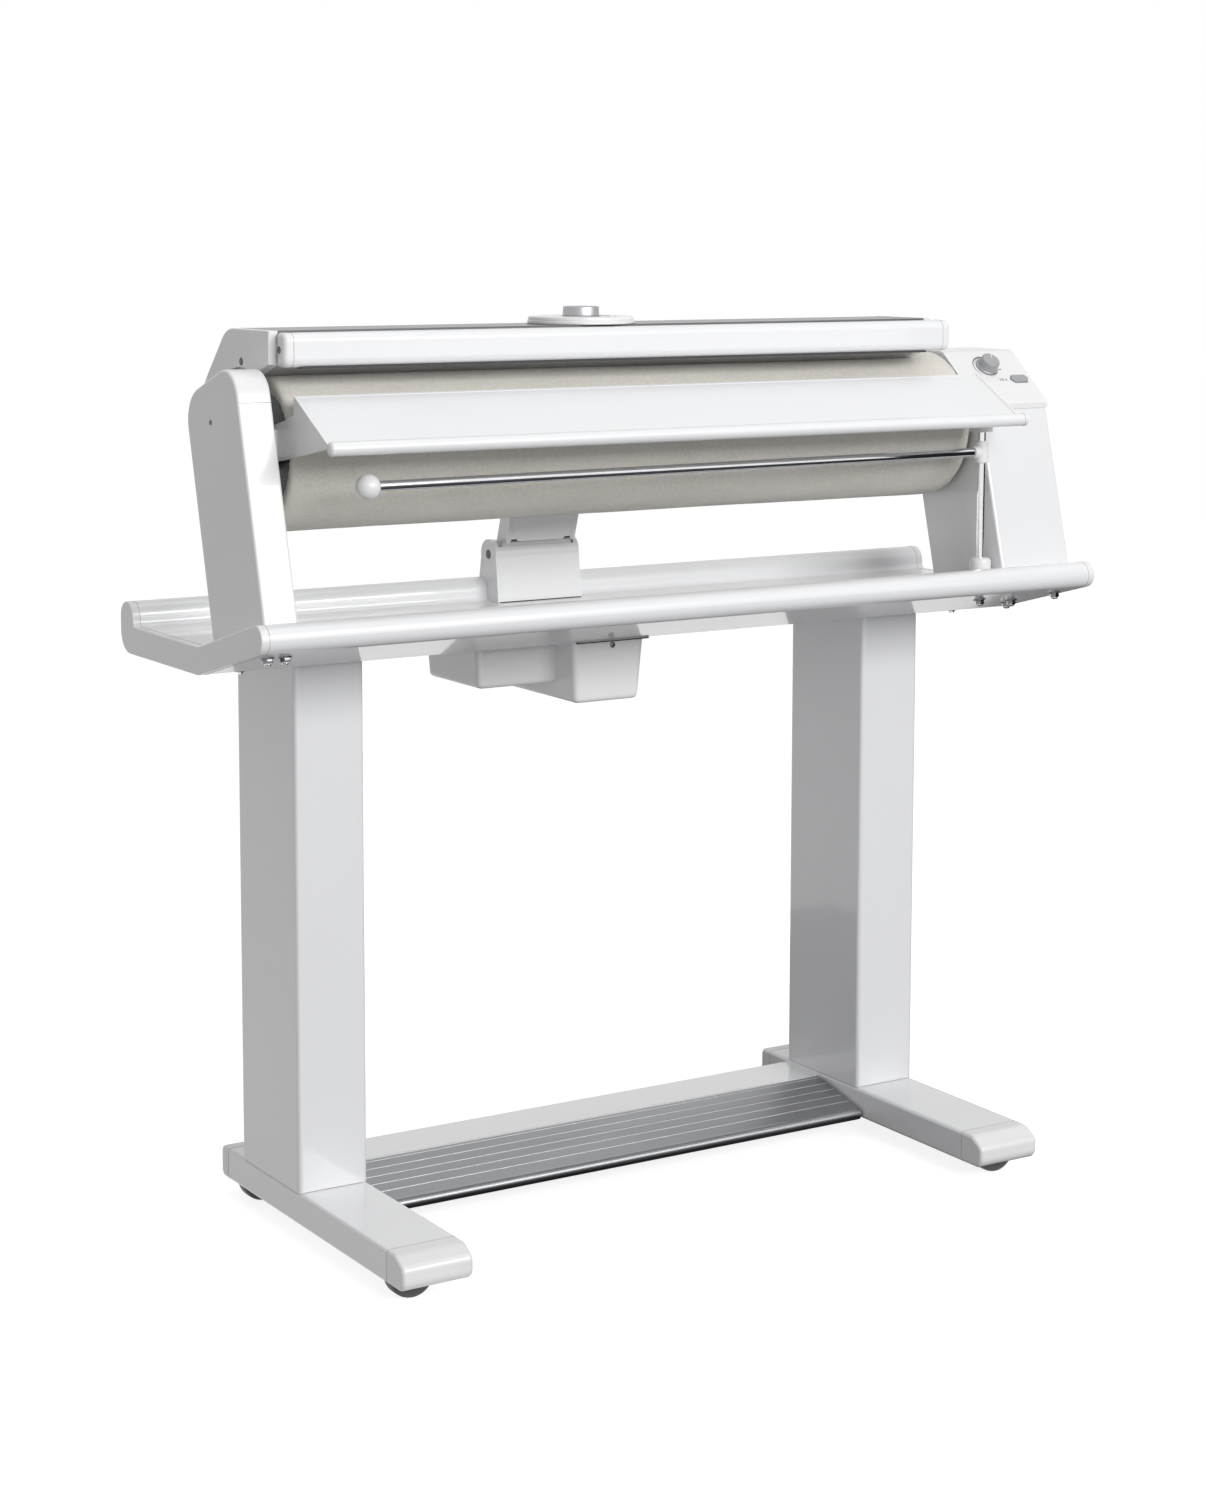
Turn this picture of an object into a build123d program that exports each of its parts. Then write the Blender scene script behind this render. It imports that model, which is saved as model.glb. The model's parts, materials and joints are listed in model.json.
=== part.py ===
from build123d import *
import os
from math import atan2, cos, degrees, radians, sin, sqrt, tan

# Free-standing rotary ironer, in millimetres. X runs along the roller, -Y is the
# operator's side, +Z is up. The origin is on the floor, under the middle.

# ---------------------------------------------------------------- clearances
running_gap = 0.05        # radial, shaft in its bore
seat_gap = 0.2            # loose fit of one fixed piece in another
soft_gap = 0.3            # round cloth, felt and belt
over = 1.0                # how far a cutting shape runs past the face that it opens
sunk = 1.0                # how far two solids of one piece run into each other
halvings = 40             # steps of the search for a height on an arc

# ---------------------------------------------------------------- tray
tray_half = 500.0
tray_cap_thick = 8.5
tray_wall = 2.0
tray_front = -151.6
tray_rear = 182.5
rear_rim_width = 31.0
rear_rim_top = 645.0
under_z = 592.5
floor_z = 620.5
floor_fold_y = -8.0
under_fold_y = -5.0
floor_slope = 15.7        # degrees, front part of the floor
under_slope = 15.0        # degrees, front part of the underside
nose_r = 13.8
fold_r = 12.0
rear_corner_r = 22.0
tray_edge_r = 1.5
rail_y = 25.0
rail_width = 30.0
rail_half = 484.0

# ---------------------------------------------------------------- stand
foot_half_y = 205.4
foot_height = 33.4
foot_z = 19.6
foot_wall = 2.5
foot_edge_r = 4.0
foot_cap_front = 33.7
foot_cap_rear = 18.4
foot_plug = 30.0
toe_slope_run = 17.0      # the front cap's top slopes down before its tip
toe_slope_drop = 10.0
toe_top_r = 12.0
toe_front_r = 9.0
toe_low_r = 11.0
heel_top_r = 6.0
heel_low_r = 8.0
column_inner_x = 310.3
column_outer_x = 387.0
column_front_y = 15.4
column_rear_y = 151.8
column_wall = 2.5
column_corner_r = 5.0
column_plate_thick = 6.0
wheel_r = 24.7
wheel_width = 20.0
wheel_tread_r = 4.0
wheel_rim = 5.5
wheel_recess = 2.5
wheel_hub_r = 6.5
wheel_x = 358.5
wheel_front_y = -163.5
wheel_rear_y = 166.5
wheel_pocket_gap = 1.2
axle_r = 2.5
axle_overhang = 4.0
axle_backing = 3.0        # plug behind the end of an axle

# ---------------------------------------------------------------- cross member and pedal
cross_front_y = 100.0
cross_rear_y = 155.0
cross_low_z = 22.0
cross_top_z = 48.5
cross_lip = 6.5
cross_wall = 2.5
pedal_half = 307.0
pedal_wall = 2.5
pedal_rear_y = 87.3
pedal_rear_z = 49.0
pedal_mid_y = 46.0
pedal_mid_z = 40.3
pedal_nose_y = 3.0
pedal_nose_z = 25.2
pedal_nose_r = 6.5
pedal_nose_back = 2.9     # where the top runs into the nose, behind its tip
pedal_nose_rise = 5.2
pedal_web = 6.0
pedal_hinge_y = 90.0
pedal_hinge_z = 38.0
pedal_rod_r = 4.0
pedal_knuckle_r = 6.5
groove_count = 5
groove_pitch = 14.3
groove_first_y = 26.3
groove_width = 1.6
groove_depth = 0.9

# ---------------------------------------------------------------- pillars
lean = 0.257              # the pillars lean back: dy per dz
lean_ref_z = 652.0
pillar_front_ref_y = -120.0
pillar_rear_ref_y = 3.0
pillar_left_x = -482.7
pillar_left_inner_x = -447.0
pillar_wall = 2.5
pillar_rear_corner_z = 855.0
pillar_top_fall = 0.36
pillar_front_corner_r = 30.0
pillar_rear_corner_r = 34.0
pillar_edge_r = 3.0
pillar_foot_sunk = 8.0    # the pillars' faces are drawn this far into the tray, then cut by it
housing_inner_x = 396.0
housing_outer_x = 491.0
housing_wall = 3.0
panel_thick = 6.0
panel_overhang = 1.5
panel_front_z = 829.5
panel_lip = 7.0
panel_top_y = -12.0
panel_top_z = 884.0
panel_edge_r = 4.0
panel_crest_r = 10.0

# ---------------------------------------------------------------- roller
axis_y = 10.4
axis_z = 804.7
cloth_r = 79.5
cloth_thick = 2.0
cloth_left_x = -427.0
cloth_right_x = 391.4
padding_thick = 7.0
padding_inset = 5.0
tube_wall = 4.0
tube_inset = 7.0
end_disc_thick = 6.0
end_disc_inset = 5.0
shaft_r = 12.0
shaft_left_x = -470.0
shaft_right_x = 462.0
shaft_hole_r = 15.0
hub_collar = 10.0
hub_collar_wall = 8.0
bearing_r = 22.0
bearing_width = 12.0
bearing_left_x = -469.0
bearing_right_x = 405.0
bearing_plate_thick = 6.0
bearing_boss_r = 27.0
bearing_foot_front = -114.0
bearing_foot_left = (-479.5, -450.0)
bearing_foot_right = (399.5, 487.0)
plate_inset = 8.0
bearing_foot_rear = floor_fold_y - 4.0

# ---------------------------------------------------------------- roller drive
pulley_x = 432.0
pulley_width = 10.0
pulley_r = 23.0
motor_pulley_r = 11.0
motor_y = -44.0
motor_z = 700.0
motor_r = 31.0
motor_length = 34.0
motor_shaft_r = 4.0
motor_shaft_depth = 6.0
motor_bore_depth = 8.0
motor_edge_r = 3.0
pulley_flange = 1.5
pulley_hub = 6.0
belt_thick = 2.5
belt_width = 8.0

# ---------------------------------------------------------------- heater
heater_left_x = -444.0
heater_right_x = 345.0
heater_cap_thick = 10.0
heater_cap_wall = 3.0
shoe_r = 80.0
shoe_thick = 6.0
shoe_low = -38.0          # degrees round the roller axis, from straight back
shoe_front = 113.0
cover_r = 104.0
cover_tangent = 44.0      # degrees, where the flank leaves the round back
cover_thick = 1.5
cover_crest_r = 34.0
heater_top_z = 922.5
heater_front_y = -54.0
heater_front_low_z = 890.5
flare_thick = 4.0
element_r = 4.0
element_angles = (10.0, 45.0, 80.0)
element_inset = 12.0
dial_x = -72.0
dial_y = -9.5
dial_r = 55.0
dial_thick = 4.5
dial_step = 8.0
knob_r = 21.0
knob_height = 12.5
knob_gap = 0.4
knob_edge_r = 1.2
spindle_r = 3.0
spindle_hole_r = 4.0
spindle_depth = 5.0
cap_edge_r = 1.5
cap_shoe_gap = 0.5
flare_back = 2.0
thermostat_side = 30.0
thermostat_height = 20.0

# ---------------------------------------------------------------- finger guard
guard_left_x = -437.0
guard_right_x = 356.0
guard_cap_thick = 10.0
guard_back_y = -56.6
guard_depth = 17.5
guard_low_z = 888.0
guard_top_z = 920.7
guard_wall = 1.8
guard_nose_r = 8.0
guard_back_r = 1.5
guard_edge_r = 1.2
guard_lip = 4.0
guard_pin_y = -63.5
guard_pin_z = 904.4
guard_pin_r = 2.5
guard_bracket_thick = 4.0
guard_bracket_half = 5.0
guard_pin_proud = 2.0
guard_bracket_left_x = -426.0
guard_bracket_right_x = 333.0

# ---------------------------------------------------------------- lift arm and its bracket
pin_y = 148.0
pin_z = 671.0
pin_r = 5.0
bracket_left_x = -92.0
bracket_right_x = 12.0
bracket_ear = 5.0
bracket_wall = 2.5
bracket_foot_y = 126.5
bracket_brow_y = 132.5
bracket_head_r = 16.0
bracket_head_slope = 0.5
bracket_head_drop = 2.0
bracket_rim_gap = 4.0
bracket_tail_y = 169.0
bracket_tail_drop = 8.0
pin_end_gap = 0.5
arm_left_x = -80.0
arm_right_x = 5.5
arm_side = 5.0
arm_depth = 20.5
arm_lean = 0.315          # the arm leans forward as it rises: dy per dz
arm_hub_r = 11.0
arm_low_rise = 13.0
arm_neck_half = 9.5
arm_top_z = 800.0
arm_web = 5.0             # front wall of the arm's channel
arm_solid_z = 764.7       # the arm is solid above this height
arm_shift = 3.0           # the arm's middle lies this far in front of its pin
arm_cover_thick = 2.5
arm_cover_top_z = 762.7
arm_cover_rise = 14.0
arm_corner_run = 11.0
arm_corner_rise = 14.0
tail_x = -46.0
tail_thick = 8.0
tail_front_y = 137.0
tail_rear_y = 149.0
tail_low_z = 546.0
slot_gap = 2.0
slot_front_y = 124.5
slot_rear_y = 150.5

# ---------------------------------------------------------------- lift drive
crank_throw = 7.7
crank_z = 560.0
crank_r = 14.0
crank_thick = 6.0
crank_pin_r = 3.0
crank_slot_gap = 2.2
crank_slot_extra = 3.0
crank_pin_proud = 2.0
crank_stub_r = 4.0
crank_stub = 12.0
crank_bore = 11.5
gear_length = 24.0
gear_half = 18.0
gear_rear = 14.0
gear_gap = 2.0
gear_edge_r = 4.0
ear_inset = 2.0
ear_front = 6.0
ear_rear = 14.0
lift_motor_r = 15.0
lift_motor_length = 70.0
box_deep_left_x = -76.0
box_deep_right_x = 11.5
box_deep_front_y = -3.0
box_rear_y = 158.0
box_deep_low_z = 527.0
box_side_left_x = -168.0
box_side_front_y = 37.0
box_side_low_z = 544.5
box_wall = 2.5
box_draft = 4.0
box_edge_r = 8.0
box_low_r = 5.5
box_lip_thick = 1.5
box_lip_out = 3.0
box_lip_in = 6.0
box_lip_start = 4.0
box_step_sunk = 20.0      # the shallow half runs this far into the deep one
box_step_back = 4.0

# ---------------------------------------------------------------- feed board, post and rod
board_left_x = -427.0
board_right_x = 388.0
board_rear_y = -78.4
board_rear_z = 862.0
board_bend_y = -150.0
board_bend_z = 820.0
board_thick = 3.0
board_nose_r = 6.8
board_nose_y = -157.2
board_nose_z = 817.0
board_nose_overlap = 4.0
board_rib = 15.0
board_rib_thick = 2.5
cheek_thick = 3.0
cheek_right_thick = 4.0
cheek_back_y = -35.0
cheek_neck_y = -56.5
cheek_neck_z = 837.0
cheek_back_top_z = 832.0
cheek_back_low_z = 797.0
cheek_low_y = -53.0
cheek_low_z = 799.5
cheek_head = 18.0
cheek_toe = 4.0
arm_foot_depth = 8.0
arm_foot_low_z = 802.0
arm_foot_top_z = 828.0
reach_head = 30.0
reach_foot_front = 12.0
reach_foot_rear = 1.0
reach_foot_top = 20.0
post_x = 381.0
post_y = -100.0
post_r = 4.3
post_low_z = 650.0
post_base_r = 12.0
post_base_top_z = 664.3
post_base_edge_r = 5.0
post_head_gap = 12.0
post_block_half = 10.0
post_block_low_z = 801.0
holder_r = 7.5
holder_low_z = 767.0
holder_top_z = 791.0
holder_neck_r = 6.5
holder_neck_reach = 13.0
holder_edge_r = 1.5
rod_r = 5.0
rod_wall = 1.0
rod_z = 779.0
rod_reach = 766.0
rod_turn = 3.0            # degrees, the rod stands a little off the roller's line
ball_r = 12.0

# ---------------------------------------------------------------- controls and small parts
speed_x = 440.5
speed_down = 28.0         # along the panel, from its crest
speed_cap_r = 11.0
speed_skirt_r = 12.8
speed_height = 12.0
speed_skirt_height = 2.0
speed_edge_r = 1.5
speed_stem = 4.0
control_side = 22.0
control_depth = 14.0
control_margin = 1.5
control_bore = 5.0
switch_x = 474.5
switch_down = 48.0
switch_half_length = 12.0
switch_half_width = 5.0
switch_point = 4.0
switch_proud = 3.0
switch_sunk = 3.0
switch_gap = 0.8
switch_width = 17.6
switch_edge_r = 1.0
switch_well = 2.0
gland_z = 672.0
gland_r = 9.0
gland_length = 16.0
gland_bore_r = 4.0
gland_hole_r = 6.0
gland_edge_r = 2.5
gland_stem = 8.0
bolt_r = 3.0
nut_half = 5.0
nut_height = 5.0
bolt_tip = 2.0
left_bolts = ((-474.0, -108.0), (-456.0, -108.0))
right_bolts = ((462.0, -48.0), (452.0, -68.0), (480.0, -108.0))
rail_bolts = ((-441.0, rail_y), (443.0, rail_y))
screw_r = 2.6
screw_head = 1.0
screw_proud = 0.4
pillar_screw_y = -6.5
pillar_screw_z = 834.6

# ---------------------------------------------------------------- derived places
foot_top = foot_z + foot_height
column_mid_x = (column_inner_x + column_outer_x) / 2
column_width = column_outer_x - column_inner_x
column_depth = column_rear_y - column_front_y
column_mid_y = (column_front_y + column_rear_y) / 2
padding_outer_r = cloth_r - cloth_thick - soft_gap
padding_inner_r = padding_outer_r - padding_thick
tube_r = padding_inner_r - soft_gap
panel_angle = degrees(atan2(panel_top_z - panel_front_z, panel_top_y + panel_overhang
                            - pillar_front_ref_y - lean * (panel_front_z - lean_ref_z)))
crank_y = (tail_front_y + tail_rear_y) / 2 - crank_throw
axle_half = wheel_width / 2 + wheel_pocket_gap + axle_overhang
board_fall = (board_rear_z - board_bend_z) / (board_rear_y - board_bend_y)
board_upright = board_thick * sqrt(1 + board_fall * board_fall)
pillar_low_z = floor_z - pillar_foot_sunk


def front_y(z):
    return pillar_front_ref_y + lean * (z - lean_ref_z)


def rear_y(z):
    return pillar_rear_ref_y + lean * (z - lean_ref_z)


def floor_at(y):
    return floor_z + tan(radians(floor_slope)) * max(0.0, floor_fold_y - y)


def under_at(y):
    return under_z + tan(radians(under_slope)) * max(0.0, under_fold_y - y)


def polar(radius, angle):
    return (axis_y + radius * cos(radians(angle)), axis_z + radius * sin(radians(angle)))


# ---------------------------------------------------------------- drawing helpers
def outline(corners):
    """Closed face through (u, v, radius) corners, each rounded by its own arc."""
    count = len(corners)
    ends = []
    for i in range(count):
        u, v, r = corners[i]
        before = corners[i - 1]
        after = corners[(i + 1) % count]
        if r == 0:
            ends.append(((u, v), None, (u, v)))
            continue
        here = Vector(u, v)
        back = (Vector(before[0], before[1]) - here).normalized()
        on = (Vector(after[0], after[1]) - here).normalized()
        half = radians(back.get_angle(on)) / 2
        reach = r / tan(half)
        start = here + back * reach
        stop = here + on * reach
        middle = here + (back + on).normalized() * (r / sin(half) - r)
        ends.append(((start.X, start.Y), (middle.X, middle.Y), (stop.X, stop.Y)))
    edges = []
    for i in range(count):
        start, middle, stop = ends[i]
        if middle is not None:
            edges.append(ThreePointArc(start, middle, stop))
        following = ends[(i + 1) % count][0]
        if sqrt((following[0] - stop[0]) ** 2 + (following[1] - stop[1]) ** 2) > 1e-6:
            edges.append(Line(stop, following))
    return make_face(Wire(edges))


def along_x(profile, x0, x1):
    """A (y, z) profile drawn from x0 to x1."""
    return Pos(x0, 0, 0) * extrude(Plane.YZ * profile, x1 - x0)


def box(x0, x1, y0, y1, z0, z1):
    return Pos((x0 + x1) / 2, (y0 + y1) / 2, (z0 + z1) / 2) * Box(x1 - x0, y1 - y0, z1 - z0)


def rod_x(x0, x1, y, z, r):
    return Pos((x0 + x1) / 2, y, z) * Rot(0, 90, 0) * Cylinder(r, x1 - x0)


def rod_y(x, y0, y1, z, r):
    return Pos(x, (y0 + y1) / 2, z) * Rot(90, 0, 0) * Cylinder(r, y1 - y0)


def rod_z_axis(x, y, z0, z1, r):
    return Pos(x, y, (z0 + z1) / 2) * Cylinder(r, z1 - z0)


def tube_x(x0, x1, y, z, outer, inner):
    return rod_x(x0, x1, y, z, outer) - rod_x(x0 - over, x1 + over, y, z, inner)


def sector(inner, outer, start, stop):
    """Part of a ring round the roller axis, between two angles."""
    middle = (start + stop) / 2
    edges = [Line(polar(inner, start), polar(outer, start)),
             ThreePointArc(polar(outer, start), polar(outer, middle), polar(outer, stop)),
             Line(polar(outer, stop), polar(inner, stop)),
             ThreePointArc(polar(inner, stop), polar(inner, middle), polar(inner, start))]
    return make_face(Wire(edges))


def disc(y, z, r):
    return Pos(y, z) * Circle(r)


def polygon(*points):
    return make_face(Polyline(*points, points[0]))


def mirrored(part):
    return part.mirror(Plane.YZ)


def group(*parts):
    solids = []
    for part in parts:
        solids += list(part.solids())
    return Compound(children=solids)


parts = {}


# ---------------------------------------------------------------- tray
def tray_profile():
    front_top = floor_at(tray_front)
    front_low = under_at(tray_front)
    rim_r = rear_rim_width / 2 - 0.05
    return outline([
        (tray_rear, under_z, rear_corner_r),
        (tray_rear, rear_rim_top, rim_r),
        (tray_rear - rear_rim_width, rear_rim_top, rim_r),
        (tray_rear - rear_rim_width, floor_z, fold_r / 2),
        (floor_fold_y, floor_z, fold_r),
        (tray_front, front_top, nose_r),
        (tray_front, front_low, nose_r),
        (under_fold_y, under_z, fold_r)])


tray_face = tray_profile()


def bolt_places():
    return left_bolts + right_bolts + rail_bolts + ((post_x, post_y),)


def tray_shell():
    inner_end = tray_half - tray_cap_thick
    shell = along_x(tray_face - offset(tray_face, -tray_wall), -inner_end, inner_end)
    shell -= box(tail_x - slot_gap, tail_x + tail_thick + slot_gap,
                 slot_front_y, slot_rear_y, under_z - over, floor_z + fold_r)
    for x, y in bolt_places():
        shell -= rod_z_axis(x, y, under_at(y) - over, floor_at(y) + over, bolt_r + seat_gap)
    return shell


def tray_caps():
    inner_end = tray_half - tray_cap_thick
    plate = along_x(tray_face, inner_end, tray_half)
    plate = fillet(plate.faces().sort_by(Axis.X)[-1].edges(), tray_edge_r)
    return group(plate, mirrored(plate))


def chassis_rail():
    low = under_z + tray_wall
    top = floor_z - tray_wall
    rail = box(-rail_half, rail_half, rail_y - rail_width / 2, rail_y + rail_width / 2, low, top)
    rail -= box(-rail_half - over, rail_half + over, rail_y - rail_width / 2 + tray_wall,
                rail_y + rail_width / 2 - tray_wall, low + tray_wall, top - tray_wall)
    for x, y in rail_bolts:
        rail -= rod_z_axis(x, y, low - over, top + over, bolt_r + seat_gap)
    return rail


def bolt(x, y, top):
    """A bolt with its hexagon nut under the tray; the nut's top meets the sheet."""
    low = under_at(y)
    shank = rod_z_axis(x, y, low - nut_height - bolt_tip, top, bolt_r)
    nut = Pos(x, y, low - nut_height) * extrude(RegularPolygon(nut_half, 6), nut_height + bolt_tip)
    return nut - along_x(tray_face, x - 2 * nut_half, x + 2 * nut_half) + shank


def tray_bolts():
    rail_top = floor_z - tray_wall
    bolts = [bolt(x, y, floor_at(y) + bearing_plate_thick) for x, y in left_bolts + right_bolts]
    bolts += [bolt(x, y, rail_top) for x, y in rail_bolts]
    bolts.append(bolt(post_x, post_y, post_low_z))
    return group(*bolts)


# ---------------------------------------------------------------- stand
def foot_tube():
    tube = box(column_inner_x, column_outer_x, -foot_half_y + foot_cap_front,
               foot_half_y - foot_cap_rear, foot_z, foot_top)
    tube = fillet(tube.edges().filter_by(Axis.Y), foot_edge_r)
    tube -= box(column_inner_x + foot_wall, column_outer_x - foot_wall, -foot_half_y,
                foot_half_y, foot_z + foot_wall, foot_top - foot_wall)
    for y in (wheel_front_y, wheel_rear_y):
        tube -= wheel_space(y, foot_z + foot_wall + over)
    return tube


def wheel_space(y, top):
    """Room for a wheel, open to the floor."""
    reach = wheel_r + wheel_pocket_gap
    half = wheel_width / 2 + wheel_pocket_gap
    return box(wheel_x - reach, wheel_x + reach, y - half, y + half, foot_z - over, top)


def toe_face(y_root, y_tip):
    """Side view of a front foot cap."""
    return outline([(y_root, foot_z, 0), (y_root, foot_top, 0),
                    (y_tip + toe_slope_run, foot_top, toe_top_r),
                    (y_tip, foot_top - toe_slope_drop, toe_front_r),
                    (y_tip, foot_z, toe_low_r)])


def heel_face(y_root, y_tip):
    """Side view of a rear foot cap."""
    return outline([(y_root, foot_z, 0), (y_root, foot_top, 0),
                    (y_tip, foot_top, heel_top_r), (y_tip, foot_z, heel_low_r)])


def foot_cap(face, y_root, way, wheel_y):
    """End cap of the right foot; its plug fills the tube as far as the wheel's axle."""
    nose = along_x(face, column_inner_x, column_outer_x)
    sides = nose.faces().sort_by(Axis.X)
    rims = [e for e in sides[0].edges() + sides[-1].edges()
            if abs(e.center().Y - y_root) > seat_gap]
    nose = fillet(rims, foot_edge_r)
    fit = foot_wall + seat_gap
    plug = max(foot_plug, way * (y_root - wheel_y) + axle_half + axle_backing)
    low, high = sorted((y_root - way * plug, y_root + way * sunk))
    cap = nose + box(column_inner_x + fit, column_outer_x - fit, low, high,
                     foot_z + fit, foot_top - fit)
    cap -= wheel_space(wheel_y, 2 * wheel_r + wheel_pocket_gap)
    return cap - rod_y(wheel_x, wheel_y - axle_half, wheel_y + axle_half, wheel_r, axle_r)


def wheel(x, y):
    body = rod_y(x, y - wheel_width / 2, y + wheel_width / 2, wheel_r, wheel_r)
    body = fillet(body.edges().filter_by(GeomType.CIRCLE), wheel_tread_r)
    for way in (-1, 1):
        face_y = y + way * wheel_width / 2
        low, high = sorted((face_y - way * wheel_recess, face_y + way * over))
        recess = rod_y(x, low, high, wheel_r, wheel_r - wheel_rim)
        body -= recess - rod_y(x, low - over, high + over, wheel_r, wheel_hub_r)
    return body - rod_y(x, y - wheel_width, y + wheel_width, wheel_r, axle_r + running_gap)


def wheel_axles():
    axles = []
    for side in (-1, 1):
        for y in (wheel_front_y, wheel_rear_y):
            axles.append(rod_y(side * wheel_x, y - axle_half, y + axle_half, wheel_r, axle_r))
    return group(*axles)


def column():
    outer = Pos(column_mid_x, column_mid_y) * RectangleRounded(
        column_width, column_depth, column_corner_r)
    inner = Pos(column_mid_x, column_mid_y) * RectangleRounded(
        column_width - 2 * column_wall, column_depth - 2 * column_wall,
        column_corner_r - column_wall)
    return Pos(0, 0, foot_top) * extrude(outer - inner, under_z - foot_top)


def column_plates():
    fit = column_wall + seat_gap
    plate = Pos(column_mid_x, column_mid_y) * RectangleRounded(
        column_width - 2 * fit, column_depth - 2 * fit, column_corner_r - column_wall)
    low = Pos(0, 0, foot_top) * extrude(plate, column_plate_thick)
    high = Pos(0, 0, under_z - column_plate_thick) * extrude(plate, column_plate_thick)
    return group(low, high, mirrored(low), mirrored(high))


def cross_member():
    tube = box(-column_inner_x, column_inner_x, cross_front_y, cross_rear_y,
               cross_low_z, cross_top_z)
    tube -= box(-column_inner_x - over, column_inner_x + over, cross_front_y + cross_wall,
                cross_rear_y - cross_wall, cross_low_z + cross_wall, cross_top_z - cross_wall)
    lip = box(-column_inner_x, column_inner_x, cross_front_y - cross_lip, cross_front_y + sunk,
              cross_top_z - cross_wall, cross_top_z)
    return tube + lip


def pedal_band(drop):
    """Upper face of the pedal, lowered by drop: an arc from its rear edge to its nose."""
    return ThreePointArc((pedal_rear_y, pedal_rear_z - drop), (pedal_mid_y, pedal_mid_z - drop),
                         (pedal_nose_y + pedal_nose_back, pedal_nose_z + pedal_nose_rise - drop))


def foot_pedal():
    top = pedal_band(0)
    low = pedal_band(pedal_wall)
    skin = make_face(Wire([top, Line(top @ 1, low @ 1), low, Line(low @ 0, top @ 0)]))
    nose_y = pedal_nose_y + pedal_nose_r
    far = 3 * pedal_nose_r
    nose = disc(nose_y, pedal_nose_z, pedal_nose_r) - disc(
        nose_y, pedal_nose_z, pedal_nose_r - pedal_wall)
    nose -= polygon((nose_y, pedal_nose_z - far), (nose_y + far, pedal_nose_z - far),
                    (nose_y + far, pedal_nose_z), (nose_y, pedal_nose_z))
    knuckle = disc(pedal_hinge_y, pedal_hinge_z, pedal_knuckle_r)
    web_top = pedal_rear_z - pedal_wall / 2
    web = polygon((pedal_rear_y - pedal_web, web_top), (pedal_rear_y, web_top),
                  (pedal_hinge_y, pedal_hinge_z), (pedal_hinge_y - pedal_web, pedal_hinge_z))
    hinge_hole = disc(pedal_hinge_y, pedal_hinge_z, pedal_rod_r + running_gap)
    pedal = along_x((skin + nose + knuckle + web) - hinge_hole, -pedal_half, pedal_half)
    for i in range(groove_count):
        y = groove_first_y + i * groove_pitch
        z = arc_height(top, y)
        pedal -= box(-pedal_half - over, pedal_half + over, y - groove_width / 2,
                     y + groove_width / 2, z - groove_depth, z + pedal_wall)
    return pedal


def arc_height(edge, y):
    """Height of an arc at y, found by halving its length again and again."""
    low, high = 0.0, 1.0
    for _ in range(halvings):
        mid = (low + high) / 2
        if (edge @ mid).X > y:
            low = mid
        else:
            high = mid
    return (edge @ mid).Y


# ---------------------------------------------------------------- pillars
def left_pillar_face():
    low_front = under_at(tray_front) + pillar_foot_sunk
    rear_corner_y = rear_y(pillar_rear_corner_z)
    # the top line meets the front line here
    top_z = (pillar_rear_corner_z + pillar_top_fall * (
        rear_corner_y - front_y(0))) / (1 + pillar_top_fall * lean)
    return outline([
        (front_y(low_front), low_front, 0),
        (front_y(top_z), top_z, pillar_front_corner_r),
        (rear_corner_y, pillar_rear_corner_z, pillar_rear_corner_r),
        (rear_y(pillar_low_z), pillar_low_z, 0)])


def pillar_left():
    face = left_pillar_face()
    shell = along_x(face - tray_face, pillar_left_x, pillar_left_inner_x)
    shell = soften(shell, pillar_left_x, pillar_left_inner_x)
    cavity = offset(face, -pillar_wall) - tray_face
    shell -= along_x(cavity, pillar_left_x + pillar_wall, pillar_left_inner_x - pillar_wall)
    shell -= rod_x(pillar_left_inner_x - 2 * pillar_wall, pillar_left_inner_x + over,
                   axis_y, axis_z, shaft_hole_r)
    return shell - pillar_screw()


def soften(shell, x0, x1):
    """Round the long edges of a pillar's front face."""
    edges = [e for e in shell.edges()
             if abs(abs(e.center().X - (x0 + x1) / 2) - (x1 - x0) / 2) < seat_gap
             and e.length > x1 - x0 and abs(e.center().Y - front_y(e.center().Z)) < seat_gap]
    return fillet(edges, pillar_edge_r)


def housing_face():
    """Side view of the right-hand housing, without its control panel."""
    low_front = under_at(tray_front) + pillar_foot_sunk
    crest_y = panel_top_y + panel_thick * tan(radians(panel_angle / 2))
    crest_z = panel_top_z - panel_thick
    slope = tan(radians(panel_angle))
    # the slope, lowered by the panel's thickness, meets the front line here
    front_z = (crest_z - slope * (crest_y - front_y(0))) / (1 - slope * lean)
    return outline([
        (front_y(low_front), low_front, 0), (front_y(front_z), front_z, 0),
        (crest_y, crest_z, 0), (rear_y(crest_z), crest_z, 0),
        (rear_y(pillar_low_z), pillar_low_z, 0)])


def housing_right():
    face = housing_face()
    shell = along_x(face - tray_face, housing_inner_x, housing_outer_x)
    shell = soften(shell, housing_inner_x, housing_outer_x)
    low = under_z
    high = panel_top_z + housing_wall
    cavity = polygon(
        (front_y(low) + housing_wall, low), (front_y(high) + housing_wall, high),
        (rear_y(high) - housing_wall, high), (rear_y(low) - housing_wall, low)) - tray_face
    shell -= along_x(cavity, housing_inner_x + housing_wall, housing_outer_x - housing_wall)
    shell -= rod_x(housing_inner_x - over, housing_inner_x + 2 * housing_wall,
                   axis_y, axis_z, shaft_hole_r)
    return shell - rod_y((housing_inner_x + housing_outer_x) / 2,
                         rear_y(gland_z) - 2 * housing_wall, rear_y(gland_z) + 2 * housing_wall,
                         gland_z, gland_hole_r)


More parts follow.
